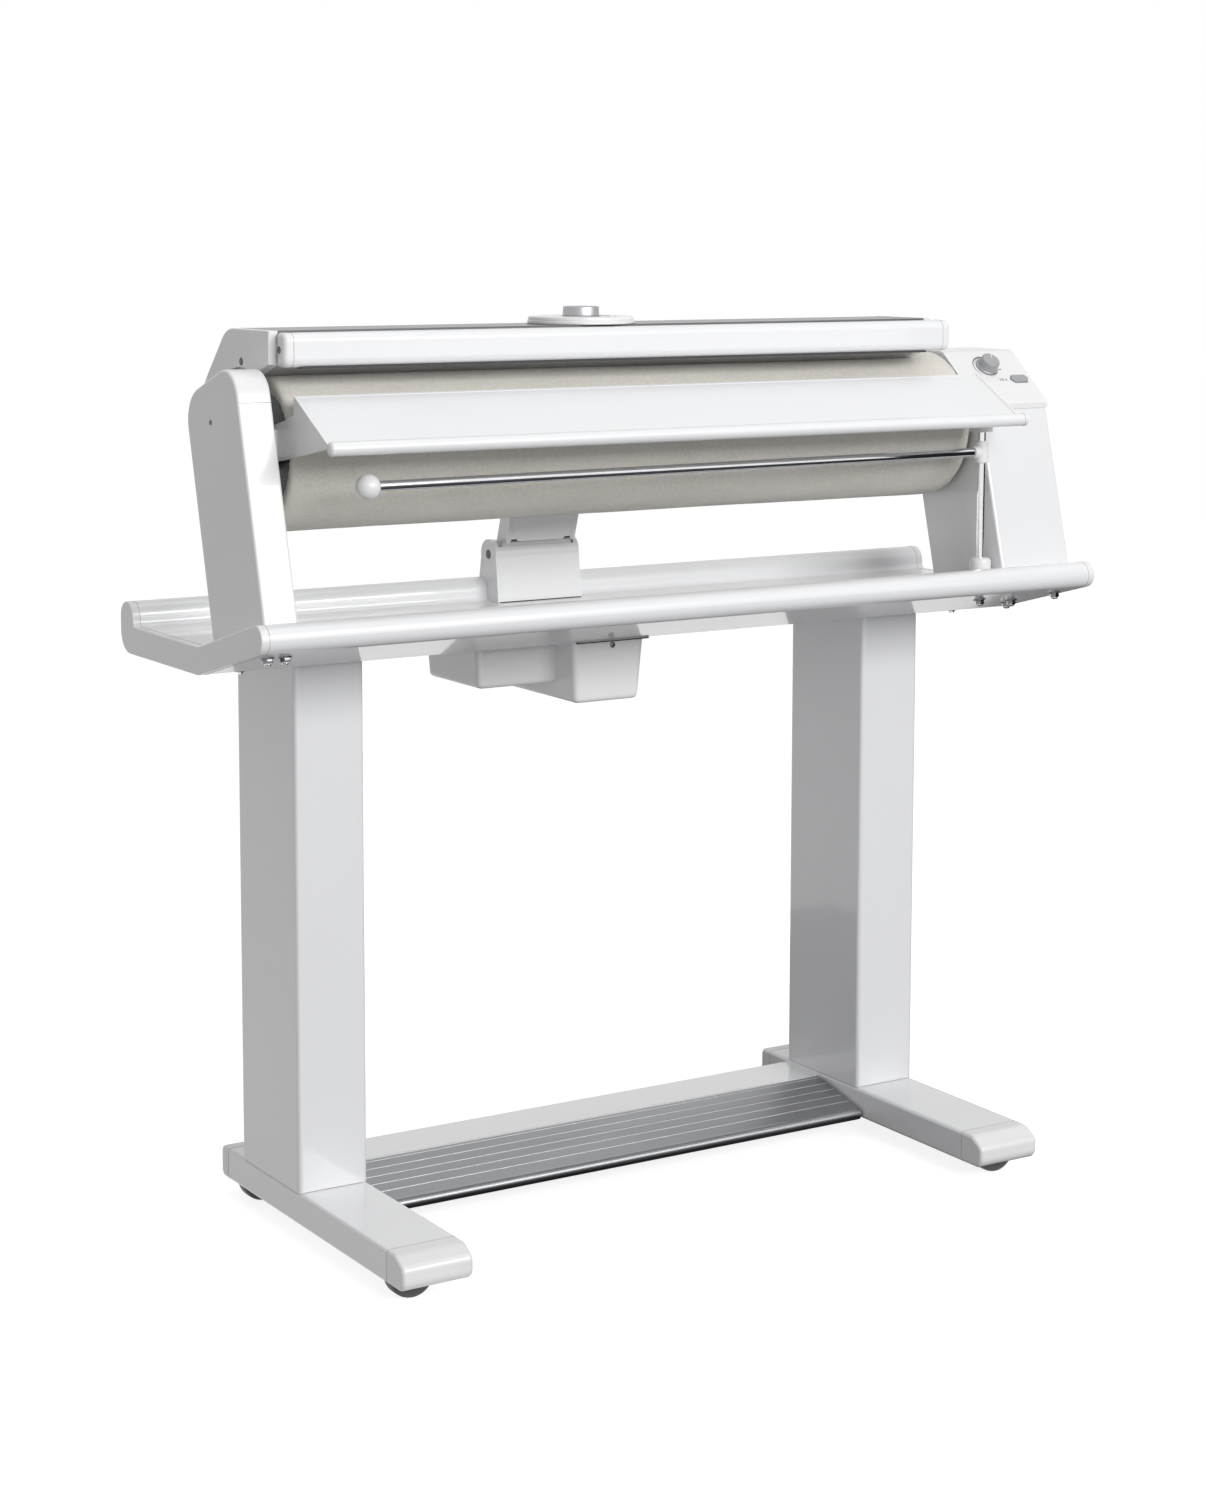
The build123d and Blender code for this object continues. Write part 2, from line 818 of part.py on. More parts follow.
def panel_face():
    lip_y = front_y(panel_front_z) - panel_overhang
    lip_z = panel_front_z - panel_lip
    return outline([
        (lip_y, lip_z, 0), (lip_y, panel_front_z, panel_edge_r),
        (panel_top_y, panel_top_z, panel_crest_r),
        (rear_y(panel_top_z) + panel_overhang, panel_top_z, panel_edge_r),
        (rear_y(panel_top_z - panel_thick - panel_lip) + panel_overhang,
         panel_top_z - panel_thick - panel_lip, 0)])


def panel_place(x, down, lift=0.0):
    """A plane on the sloping panel: down its slope from the crest, lifted off its face."""
    angle = radians(panel_angle)
    y = panel_top_y - down * cos(angle) - lift * sin(angle)
    z = panel_top_z - down * sin(angle) + lift * cos(angle)
    return Plane(origin=(x, y, z), x_dir=(1, 0, 0), z_dir=(0, -sin(angle), cos(angle)))


def switch_sketch(grow):
    length = switch_half_length + grow
    width = switch_half_width + grow
    return polygon((-length, 0), (-length + switch_point, -width),
                   (length - switch_point, -width), (length, 0),
                   (length - switch_point, width), (-length + switch_point, width))


def control_panel():
    body = along_x(panel_face() - housing_face(), housing_inner_x - panel_overhang,
                   housing_outer_x + panel_overhang)
    depth = 2 * panel_thick
    body -= extrude(panel_place(speed_x, speed_down, -depth) * Circle(spindle_r + running_gap),
                    2 * depth)
    return body - extrude(panel_place(switch_x, switch_down, -depth) * switch_sketch(switch_gap),
                          2 * depth)


def panel_controls():
    """The speed control and the switch block, both under the panel."""
    top = -panel_thick
    speed = extrude(panel_place(speed_x, speed_down, top - control_depth)
                    * Rectangle(control_side, control_side), control_depth)
    speed -= extrude(panel_place(speed_x, speed_down, top - control_bore)
                     * Circle(spindle_r + running_gap), control_bore + over)
    switch = extrude(panel_place(switch_x, switch_down, top - control_depth)
                     * Rectangle(2 * (switch_half_length + control_margin), switch_width),
                     control_depth)
    switch -= extrude(panel_place(switch_x, switch_down, top - switch_well)
                      * switch_sketch(switch_gap), switch_well + over)
    return group(speed, switch)


def speed_knob():
    skirt = extrude(panel_place(speed_x, speed_down, knob_gap) * Circle(speed_skirt_r),
                    speed_skirt_height)
    cap = extrude(panel_place(speed_x, speed_down, knob_gap) * Circle(speed_cap_r), speed_height)
    cap = fillet(cap.edges().filter_by(GeomType.CIRCLE).sort_by(Axis.Z)[-1], speed_edge_r)
    stem = extrude(panel_place(speed_x, speed_down, -panel_thick - speed_stem)
                   * Circle(spindle_r), panel_thick + speed_stem + knob_gap + sunk)
    return skirt + cap + stem


def power_switch():
    rocker = extrude(panel_place(switch_x, switch_down, -switch_sunk) * switch_sketch(0),
                     switch_sunk + switch_proud)
    top = rocker.faces().sort_by(Axis((switch_x, 0, 0), (0, -1, 1)))[-1]
    return fillet(top.edges(), switch_edge_r)


# ---------------------------------------------------------------- roller
def roller_tube():
    return tube_x(cloth_left_x + tube_inset, cloth_right_x - tube_inset, axis_y, axis_z,
                  tube_r, tube_r - tube_wall)


def roller_ends():
    inner_r = tube_r - tube_wall
    left = cloth_left_x + tube_inset + end_disc_inset
    right = cloth_right_x - tube_inset - end_disc_inset
    left_end = rod_x(left, left + end_disc_thick, axis_y, axis_z, inner_r)
    left_end += rod_x(shaft_left_x, left + sunk, axis_y, axis_z, shaft_r)
    left_end += rod_x(left - hub_collar, left + sunk, axis_y, axis_z, shaft_r + hub_collar_wall)
    right_end = rod_x(right - end_disc_thick, right, axis_y, axis_z, inner_r)
    right_end += rod_x(right - sunk, shaft_right_x, axis_y, axis_z, shaft_r)
    return group(left_end, right_end)


def roller_padding():
    return tube_x(cloth_left_x + padding_inset, cloth_right_x - padding_inset, axis_y, axis_z,
                  padding_outer_r, padding_inner_r)


def roller_cloth():
    return tube_x(cloth_left_x, cloth_right_x, axis_y, axis_z, cloth_r, cloth_r - cloth_thick)


def roller_bearings():
    left = tube_x(bearing_left_x, bearing_left_x + bearing_width, axis_y, axis_z,
                  bearing_r, shaft_r + running_gap)
    right = tube_x(bearing_right_x, bearing_right_x + bearing_width, axis_y, axis_z,
                   bearing_r, shaft_r + running_gap)
    return group(left, right)


def bearing_plate(x0, face, wall, foot_span):
    """Upright plate that stands on the tray and carries a bearing."""
    inset = offset(face, -(wall + plate_inset))
    upright = (inset + disc(axis_y, axis_z, bearing_boss_r)) - tray_face
    middle = x0 + bearing_width / 2
    plate = along_x(upright, middle - bearing_plate_thick / 2, middle + bearing_plate_thick / 2)
    plate += rod_x(x0, x0 + bearing_width, axis_y, axis_z, bearing_boss_r)
    plate -= rod_x(x0 - over, x0 + bearing_width + over, axis_y, axis_z, bearing_r)
    front = bearing_foot_front
    rear = bearing_foot_rear
    foot = polygon((front, floor_at(front)), (rear, floor_at(rear)),
                   (rear, floor_at(rear) + bearing_plate_thick),
                   (front, floor_at(front) + bearing_plate_thick))
    return plate + along_x(foot - tray_face, foot_span[0], foot_span[1])


def bearing_plates():
    left = bearing_plate(bearing_left_x, left_pillar_face(), pillar_wall, bearing_foot_left)
    right = bearing_plate(bearing_right_x, housing_face(), housing_wall + panel_thick,
                          bearing_foot_right)
    for x, y in left_bolts:
        left -= rod_z_axis(x, y, floor_z, floor_at(y) + 2 * bearing_plate_thick, bolt_r + seat_gap)
    for x, y in right_bolts:
        right -= rod_z_axis(x, y, floor_z, floor_at(y) + 2 * bearing_plate_thick, bolt_r + seat_gap)
    return group(left, right)


# ---------------------------------------------------------------- roller drive
def roller_pulley():
    body = rod_x(pulley_x, pulley_x + pulley_width, axis_y, axis_z, pulley_r)
    for x in (pulley_x - pulley_flange, pulley_x + pulley_width):
        body += rod_x(x, x + pulley_flange, axis_y, axis_z, pulley_r + belt_thick)
    low = pulley_x - pulley_hub
    high = pulley_x + pulley_width + pulley_hub
    body += rod_x(low, high, axis_y, axis_z, shaft_r + pulley_hub)
    return body - rod_x(low - over, high + over, axis_y, axis_z, shaft_r)


def motor_pulley():
    body = rod_x(pulley_x, pulley_x + pulley_width, motor_y, motor_z, motor_pulley_r)
    for x in (pulley_x - pulley_flange, pulley_x + pulley_width):
        body += rod_x(x, x + pulley_flange, motor_y, motor_z, motor_pulley_r + belt_thick)
    shaft_end = housing_outer_x - housing_wall - motor_length + motor_shaft_depth
    return body + rod_x(pulley_x + pulley_width, shaft_end, motor_y, motor_z, motor_shaft_r)


def drive_motor():
    right = housing_outer_x - housing_wall
    body = rod_x(right - motor_length, right, motor_y, motor_z, motor_r)
    body = fillet(body.edges().filter_by(GeomType.CIRCLE).sort_by(Axis.X)[0], motor_edge_r)
    return body - rod_x(right - motor_length - over, right - motor_length + motor_bore_depth,
                        motor_y, motor_z, motor_shaft_r + running_gap)


def drive_belt():
    """Flat belt on the outer tangents of the two pulleys."""
    def loop(grow):
        big = pulley_r + soft_gap + grow
        small = motor_pulley_r + soft_gap + grow
        dy = motor_y - axis_y
        dz = motor_z - axis_z
        span = sqrt(dy * dy + dz * dz)
        heading = atan2(dz, dy)
        tilt = radians(90) - atan2(big - small, sqrt(span * span - (big - small) ** 2))
        points = []
        for side in (1, -1):
            a = heading + side * tilt
            points.append(((axis_y + big * cos(a), axis_z + big * sin(a)),
                           (motor_y + small * cos(a), motor_z + small * sin(a))))
        back = (axis_y - big * cos(heading), axis_z - big * sin(heading))
        tip = (motor_y + small * cos(heading), motor_z + small * sin(heading))
        return make_face(Wire([
            Line(points[0][0], points[0][1]), ThreePointArc(points[0][1], tip, points[1][1]),
            Line(points[1][1], points[1][0]), ThreePointArc(points[1][0], back, points[0][0])]))
    start = pulley_x + (pulley_width - belt_width) / 2
    return along_x(loop(belt_thick) - loop(0), start, start + belt_width)


# ---------------------------------------------------------------- heater
def flare():
    """Lead-in of the heating shoe, which rises away from the roller."""
    root = polar(shoe_r, shoe_front)
    reach = sqrt((heater_front_y - root[0]) ** 2 + (heater_front_low_z - root[1]) ** 2)
    up = ((heater_front_y - root[0]) / reach, (heater_front_low_z - root[1]) / reach)
    return polygon(root, (heater_front_y, heater_front_low_z),
                   (heater_front_y, heater_front_low_z + flare_thick),
                   (root[0] + up[1] * flare_thick + flare_back,
                    root[1] - up[0] * flare_thick + flare_back))


def heater_outline(inner, inset=0.0):
    """Side view of the whole heater: flat top, sloping flank, round back, open inner arc.

    With an inset every side lies that much further in."""
    top = heater_top_z - inset
    front = heater_front_y + inset
    outer = cover_r - inset
    low_angle = shoe_low + degrees(inset / outer)
    tangent = polar(outer, cover_tangent)
    run = top - tangent[1]
    crest_y = tangent[0] - run * tan(radians(cover_tangent))
    half = radians(90 - cover_tangent) / 2
    reach = cover_crest_r * tan(half)
    direction = (sin(radians(cover_tangent)), -cos(radians(cover_tangent)))
    arc_end = (crest_y + direction[0] * reach, top + direction[1] * reach)
    bisect = (direction[0] - 1, direction[1])
    size = sqrt(bisect[0] ** 2 + bisect[1] ** 2)
    depth = cover_crest_r / cos(half) - cover_crest_r
    arc_mid = (crest_y + bisect[0] / size * depth, top + bisect[1] / size * depth)
    arc_start = (crest_y - reach, top)
    low_out = polar(outer, low_angle)
    low_in = polar(inner + inset, low_angle)
    front_in = polar(inner + inset, shoe_front)
    front_low = (front, heater_front_low_z + inset)
    return make_face(Wire([
        Line(front_low, (front, top)), Line((front, top), arc_start),
        ThreePointArc(arc_start, arc_mid, arc_end),
        Line(arc_end, tangent),
        ThreePointArc(tangent, polar(outer, (cover_tangent + low_angle) / 2), low_out),
        Line(low_out, low_in),
        ThreePointArc(low_in, polar(inner + inset, (low_angle + shoe_front) / 2), front_in),
        Line(front_in, front_low)]))


heater_start = heater_left_x + heater_cap_thick
heater_stop = heater_right_x - heater_cap_thick


def heating_shoe():
    face = sector(shoe_r, shoe_r + shoe_thick, shoe_low, shoe_front) + flare()
    return along_x(face, heater_start, heater_stop)


def heater_cover():
    whole = heater_outline(shoe_r)
    skin = whole - heater_outline(shoe_r, cover_thick)
    skin -= offset(flare(), seat_gap)
    skin -= disc(axis_y, axis_z, shoe_r + shoe_thick + seat_gap)
    cover = along_x(skin, heater_start, heater_stop)
    return cover - rod_z_axis(dial_x, dial_y, heater_top_z - 2 * cover_thick,
                              heater_top_z + over, spindle_hole_r)


def heater_cap(x0, x1, open_x0, open_x1):
    inner = shoe_r + cap_shoe_gap
    cap = along_x(heater_outline(inner), x0, x1)
    outer = cap.faces().sort_by(Axis.X)[0 if x0 < open_x0 else -1]
    cap = fillet([e for e in outer.edges() if e.length > cap_edge_r * 5], cap_edge_r)
    return cap - along_x(heater_outline(inner, heater_cap_wall), open_x0, open_x1)


def heater_cap_left():
    return heater_cap(heater_left_x, heater_start, heater_left_x + heater_cap_wall,
                      heater_start + over)


def heater_cap_right():
    return heater_cap(heater_stop, heater_right_x, heater_stop - over,
                      heater_right_x - heater_cap_wall)


def heating_elements():
    rods = []
    for angle in element_angles:
        y, z = polar(shoe_r + shoe_thick + element_r + seat_gap, angle)
        rods.append(rod_x(heater_start + element_inset, heater_stop - element_inset, y, z,
                          element_r))
    return group(*rods)


def thermostat():
    half = thermostat_side / 2
    low = axis_z + shoe_r + shoe_thick
    body = box(dial_x - half, dial_x + half, dial_y - half, dial_y + half,
               low + seat_gap, low + thermostat_height)
    body -= rod_z_axis(dial_x, dial_y, low + thermostat_height - spindle_depth - over,
                       low + thermostat_height + over, spindle_r + running_gap)
    return body - rod_x(dial_x - half - over, dial_x + half + over, axis_y, axis_z,
                        shoe_r + shoe_thick + seat_gap)


def dial_base():
    low = heater_top_z
    plate = rod_z_axis(dial_x, dial_y, low, low + dial_thick / 2, dial_r)
    plate += rod_z_axis(dial_x, dial_y, low, low + dial_thick, dial_r - dial_step)
    plate = fillet(plate.edges().filter_by(GeomType.CIRCLE).sort_by(Axis.Z)[-1], knob_edge_r)
    return plate - rod_z_axis(dial_x, dial_y, low - over, low + dial_thick + over,
                              spindle_r + running_gap)


def temperature_knob():
    low = heater_top_z + dial_thick + knob_gap
    knob = rod_z_axis(dial_x, dial_y, low, low + knob_height, knob_r)
    knob = fillet(knob.edges().filter_by(GeomType.CIRCLE).sort_by(Axis.Z)[-1], knob_edge_r)
    stem_low = axis_z + shoe_r + shoe_thick + thermostat_height - spindle_depth
    return knob + rod_z_axis(dial_x, dial_y, stem_low, low + sunk, spindle_r)


# ---------------------------------------------------------------- finger guard
def guard_face():
    front = guard_back_y - guard_depth
    return outline([(guard_back_y, guard_low_z, guard_back_r),
                    (guard_back_y, guard_top_z, guard_back_r),
                    (front, guard_top_z, guard_nose_r), (front, guard_low_z, guard_nose_r)])


def guard_bar():
    face = guard_face()
    channel = face - offset(face, -guard_wall)
    inside = guard_back_y - 2 * guard_wall
    low = guard_low_z + guard_lip
    high = guard_top_z - guard_lip
    channel -= polygon((inside, low), (guard_back_y + over, low), (guard_back_y + over, high),
                       (inside, high))
    return along_x(channel, guard_left_x + guard_cap_thick, guard_right_x - guard_cap_thick)


def guard_caps():
    """End caps of the guard, each with the pin that it turns on."""
    left = along_x(guard_face(), guard_left_x, guard_left_x + guard_cap_thick)
    left = fillet(left.faces().sort_by(Axis.X)[0].edges(), guard_edge_r)
    left += rod_x(guard_left_x + guard_cap_thick - sunk, guard_pin_end(-1), guard_pin_y,
                  guard_pin_z, guard_pin_r)
    right = along_x(guard_face(), guard_right_x - guard_cap_thick, guard_right_x)
    right = fillet(right.faces().sort_by(Axis.X)[-1].edges(), guard_edge_r)
    right += rod_x(guard_pin_end(1), guard_right_x - guard_cap_thick + sunk, guard_pin_y,
                   guard_pin_z, guard_pin_r)
    return group(left, right)


def guard_pin_end(side):
    """Inner end of a guard pin, just past its bracket."""
    if side < 0:
        return guard_bracket_left_x + guard_bracket_thick + guard_pin_proud
    return guard_bracket_right_x - guard_bracket_thick - guard_pin_proud


def guard_brackets():
    lug = polygon((heater_front_y, guard_pin_z - guard_bracket_half),
                  (heater_front_y, guard_pin_z + guard_bracket_half),
                  (guard_pin_y, guard_pin_z + guard_bracket_half),
                  (guard_pin_y, guard_pin_z - guard_bracket_half))
    lug = lug + disc(guard_pin_y, guard_pin_z, guard_bracket_half)
    lug = lug - disc(guard_pin_y, guard_pin_z, guard_pin_r + running_gap)
    left = guard_bracket_left_x
    right = guard_bracket_right_x
    return along_x(lug, left, left + guard_bracket_thick) + along_x(
        lug, right - guard_bracket_thick, right)


# ---------------------------------------------------------------- lift arm and bracket
def hinge_bracket():
    head_z = pin_z - bracket_head_drop
    brow_y = bracket_brow_y - bracket_head_slope
    face = polygon((bracket_foot_y, floor_z), (brow_y, head_z), (pin_y, pin_z),
                   (pin_y + bracket_head_r - bracket_head_slope, head_z),
                   (bracket_tail_y, rear_rim_top - bracket_tail_drop), (bracket_tail_y, floor_z))
    face = (face + disc(pin_y, pin_z, bracket_head_r)) - tray_face
    rim_y = tray_rear - rear_rim_width / 2
    rim_top = rear_rim_top - bracket_rim_gap
    face -= polygon((rim_y, floor_z - over), (tray_rear, floor_z - over), (tray_rear, rim_top),
                    (rim_y, rim_top))
    body = along_x(face, bracket_left_x, bracket_right_x)
    high = pin_z + 2 * bracket_head_r
    low = under_z
    inside = polygon((bracket_foot_y + bracket_wall, low),
                     (bracket_foot_y + bracket_wall, floor_z), (brow_y + bracket_wall, head_z),
                     (brow_y + bracket_wall, high), (tray_rear, high), (tray_rear, low))
    body -= along_x(inside, bracket_left_x + bracket_ear, bracket_right_x - bracket_ear)
    return body - rod_x(bracket_left_x - over, bracket_right_x + over, pin_y, pin_z, pin_r)


def hinge_pin():
    return rod_x(bracket_left_x + pin_end_gap, bracket_right_x - pin_end_gap, pin_y, pin_z,
                 pin_r)


def arm_front_y(z):
    return pin_y - arm_depth / 2 - arm_lean * (z - pin_z) - arm_shift


def arm_profile(front_in, rear_in):
    low = pin_z + arm_low_rise
    return polygon((arm_front_y(low) + front_in, low),
                   (arm_front_y(arm_top_z) + front_in, arm_top_z),
                   (arm_front_y(arm_top_z) + arm_depth - rear_in, arm_top_z),
                   (arm_front_y(low) + arm_depth - rear_in, low))


def lift_arm():
    neck_z = pin_z + arm_low_rise + sunk
    neck = polygon((pin_y - arm_neck_half, pin_z), (pin_y + arm_neck_half, pin_z),
                   (pin_y + arm_neck_half, neck_z), (pin_y - arm_neck_half, neck_z))
    side = arm_profile(0, 0) + neck + disc(pin_y, pin_z, arm_hub_r)
    body = along_x(side, arm_left_x, arm_right_x)
    pocket = arm_profile(-arm_web, arm_side) - disc(pin_y, pin_z, arm_hub_r)
    high = arm_top_z + arm_hub_r
    pocket -= polygon((axis_y, arm_solid_z), (tray_rear, arm_solid_z), (tray_rear, high),
                      (axis_y, high))
    body -= along_x(pocket, arm_left_x + arm_side, arm_right_x - arm_side)
    tail = polygon((tail_front_y, pin_z), (tail_rear_y, pin_z), (tail_rear_y, tail_low_z),
                   (tail_front_y, tail_low_z))
    body += along_x(tail, tail_x, tail_x + tail_thick)
    slot_mid = crank_y + crank_throw
    slot_half = crank_pin_r + crank_slot_gap
    reach = crank_throw + crank_pin_r + crank_slot_extra
    body -= box(tail_x - over, tail_x + tail_thick + over, slot_mid - slot_half,
                slot_mid + slot_half, crank_z - reach, crank_z + reach)
    body -= rod_x(arm_left_x - over, arm_right_x + over, pin_y, pin_z, pin_r + running_gap)
    return body - rod_x(arm_left_x - over, arm_right_x + over, axis_y, axis_z,
                        cover_r + seat_gap)


def arm_cover():
    """Cover over the front of the arm's channel, with its two lower corners cut off."""
    top = arm_cover_top_z
    low = pin_z + arm_cover_rise
    face = polygon((arm_front_y(low), low), (arm_front_y(top), top),
                   (arm_front_y(top) + arm_cover_thick, top),
                   (arm_front_y(low) + arm_cover_thick, low))
    gap = arm_side + seat_gap
    plate = along_x(face, arm_left_x + gap, arm_right_x - gap)
    for x, way in ((arm_left_x + gap, 1), (arm_right_x - gap, -1)):
        corner = polygon((x - way * over, low - over), (x + way * arm_corner_run, low - over),
                         (x - way * over, low + arm_corner_rise))
        plate -= Pos(0, pin_y, 0) * extrude(Plane.XZ * corner, pin_y - axis_y)
    return plate


# ---------------------------------------------------------------- lift drive
def lift_crank():
    x0 = tail_x + tail_thick + slot_gap
    disc_part = rod_x(x0, x0 + crank_thick, crank_y, crank_z, crank_r)
    pin = rod_x(tail_x - crank_pin_proud, x0 + sunk, crank_y + crank_throw, crank_z,
                crank_pin_r)
    stub = rod_x(x0 + crank_thick - sunk, x0 + crank_thick + crank_stub, crank_y, crank_z,
                 crank_stub_r)
    return disc_part + pin + stub


def lift_gearmotor():
    x0 = tail_x + tail_thick + slot_gap + crank_thick + gear_gap
    block = box(x0, x0 + gear_length, crank_y - gear_half, crank_y + gear_rear,
                crank_z - gear_half, crank_z + gear_half)
    block = fillet(block.edges().filter_by(Axis.X), gear_edge_r)
    front = crank_y - gear_half
    motor = rod_y(x0 + gear_length / 2, front - lift_motor_length, front + sunk, crank_z,
                  lift_motor_r)
    ear = box(x0 + ear_inset, x0 + gear_length - ear_inset, front + ear_front,
              front + ear_rear, crank_z + gear_half - sunk, under_z)
    body = block + motor + ear
    return body - rod_x(x0 - over, x0 + crank_bore, crank_y, crank_z,
                        crank_stub_r + running_gap)


def drafted_box(x0, x1, y0, y1, low, high, low_r):
    """A box that narrows downwards by the draft angle, with rounded lower edges."""
    middle = Pos((x0 + x1) / 2, (y0 + y1) / 2)
    shrink = 2 * (high - low) * tan(radians(box_draft))
    top = middle * RectangleRounded(x1 - x0, y1 - y0, box_edge_r)
    floor = middle * RectangleRounded(x1 - x0 - shrink, y1 - y0 - shrink, box_edge_r - sunk)
    body = loft([Plane.XY.offset(high) * top, Plane.XY.offset(low) * floor])
    return fillet(body.faces().sort_by(Axis.Z)[0].edges(), low_r)


def drive_box(inset, high):
    """The deep half round the crank and the shallow half beside it, each side moved in."""
    deep = drafted_box(box_deep_left_x + inset, box_deep_right_x - inset,
                       box_deep_front_y + inset, box_rear_y - inset,
                       box_deep_low_z + inset, high, box_low_r - inset)
    side = drafted_box(box_side_left_x + inset, box_deep_left_x + box_step_sunk - inset,
                       box_side_front_y + inset, box_rear_y - box_step_back - inset,
                       box_side_low_z + inset, high, box_low_r - inset)
    return deep + side


def drive_box_cover():
    lip = box(box_deep_left_x + box_lip_start, box_deep_right_x + box_lip_out,
              box_deep_front_y - box_lip_out, box_deep_front_y + box_lip_in,
              under_z - box_lip_thick, under_z)
    shell = (drive_box(0, under_z) + lip) - drive_box(box_wall, under_z + over)
    return shell - along_x(tray_face, box_side_left_x - over, box_deep_right_x + 2 * box_lip_out)


# ---------------------------------------------------------------- feed board, post and rod
def board_under(y):
    return board_rear_z - board_fall * (board_rear_y - y) - board_upright


def feed_board():
    front = board_bend_y - board_nose_overlap
    front_z = board_under(front)
    deck = polygon((board_rear_y, board_rear_z), (front, front_z + board_upright),
                   (front, front_z), (board_rear_y, board_rear_z - board_upright))
    rib_front = board_rear_y - board_rib_thick
    rib = polygon((board_rear_y, board_rear_z - sunk), (board_rear_y, board_rear_z - board_rib),
                  (rib_front, board_rear_z - board_rib), (rib_front, board_rear_z - sunk))
    nose = disc(board_nose_y, board_nose_z, board_nose_r) - disc(
        board_nose_y, board_nose_z, board_nose_r - board_thick)
    return along_x(deck + rib + nose, board_left_x, board_right_x)


def cheek_face():
    """Side plate under the feed board, which reaches back to the pillar."""
    return polygon((board_rear_y, board_rear_z), (board_rear_y, board_rear_z - cheek_head),
                   (cheek_neck_y, cheek_neck_z), (cheek_back_y, cheek_back_top_z),
                   (cheek_back_y, cheek_back_low_z), (cheek_low_y, cheek_low_z),
                   (board_bend_y + cheek_toe, board_bend_z - cheek_toe),
                   (board_bend_y, board_bend_z))


def reach_face():
    """Side plate at the right end of the feed board."""
    return polygon((board_rear_y, board_rear_z),
                   (board_rear_y - reach_foot_rear, board_rear_z - reach_head),
                   (board_bend_y + cheek_toe, board_bend_z - cheek_toe),
                   (board_bend_y, board_bend_z))


def feed_arms():
    outer = board_left_x - cheek_thick
    left = along_x(cheek_face(), outer, board_left_x)
    left += box(pillar_left_inner_x, outer + sunk, cheek_back_y - arm_foot_depth, cheek_back_y,
                arm_foot_low_z, arm_foot_top_z)
    left += rod_x(outer, board_left_x, board_nose_y, board_nose_z, board_nose_r)
    right = along_x(reach_face(), board_right_x, board_right_x + cheek_right_thick)
    right += box(board_right_x, housing_inner_x, board_rear_y - reach_foot_front,
                 board_rear_y - reach_foot_rear, board_rear_z - reach_head,
                 board_rear_z - reach_foot_top)
    right += rod_x(board_right_x, board_right_x + cheek_right_thick, board_nose_y,
                   board_nose_z, board_nose_r)
    return group(left, right)


def post():
    return rod_z_axis(post_x, post_y, post_low_z, board_under(post_y) - post_head_gap, post_r)


def post_fittings():
    """Domed socket on the tray and the block under the feed board."""
    low = floor_at(post_y + post_base_r) - sunk
    base = rod_z_axis(post_x, post_y, low, post_base_top_z, post_base_r)
    base = fillet(base.edges().filter_by(GeomType.CIRCLE).sort_by(Axis.Z)[-1],
                  post_base_edge_r)
    base -= along_x(tray_face, post_x - 2 * post_base_r, post_x + 2 * post_base_r)
    base -= rod_z_axis(post_x, post_y, post_low_z, post_base_top_z + over, post_r)
    base -= rod_z_axis(post_x, post_y, low, post_low_z, bolt_r)
    block = box(post_x - post_block_half, board_right_x - seat_gap,
                post_y - post_block_half, post_y + post_block_half,
                post_block_low_z, board_rear_z)
    above = polygon((board_rear_y, board_under(board_rear_y)),
                    (board_nose_y, board_under(board_nose_y)),
                    (board_nose_y, board_rear_z + over), (board_rear_y, board_rear_z + over))
    block -= along_x(above, post_x - 2 * post_block_half, post_x + 2 * post_block_half)
    block -= rod_z_axis(post_x, post_y, post_block_low_z - over,
                        board_under(post_y) - post_head_gap, post_r)
    return group(base, block)


def turned_rod(part):
    """Turn a part drawn along -X about the post to the rod's resting angle."""
    return Pos(post_x, post_y, 0) * Rot(0, 0, rod_turn) * Pos(-post_x, -post_y, 0) * part


def rod_holder():
    body = rod_z_axis(post_x, post_y, holder_low_z, holder_top_z, holder_r)
    body = fillet(body.edges().filter_by(GeomType.CIRCLE), holder_edge_r)
    neck = rod_x(post_x - holder_neck_reach, post_x, post_y, rod_z, holder_neck_r)
    body = body + turned_rod(neck)
    body -= turned_rod(rod_x(post_x - holder_neck_reach - over, post_x - holder_r + sunk,
                             post_y, rod_z, rod_r))
    return body - rod_z_axis(post_x, post_y, holder_low_z - over, holder_top_z + over,
                             post_r + running_gap)


def laundry_rod():
    end = post_x - rod_reach
    return turned_rod(tube_x(end, post_x - holder_r + sunk, post_y, rod_z, rod_r,
                             rod_r - rod_wall))


def ball_end():
    """A ball with a blind bore, drawn as one turned profile."""
    mouth = sqrt(ball_r * ball_r - rod_r * rod_r)
    profile = make_face(Wire([
        ThreePointArc((-ball_r, 0), (0, ball_r), (mouth, rod_r)),
        Line((mouth, rod_r), (0, rod_r)), Line((0, rod_r), (0, 0)), Line((0, 0), (-ball_r, 0))]))
    ball = revolve(profile, Axis.X)
    return turned_rod(Pos(post_x - rod_reach, post_y, rod_z) * ball)


# ---------------------------------------------------------------- small parts
def pillar_screw():
    return rod_x(pillar_left_x - screw_proud, pillar_left_x + screw_head, pillar_screw_y,
                 pillar_screw_z, screw_r)


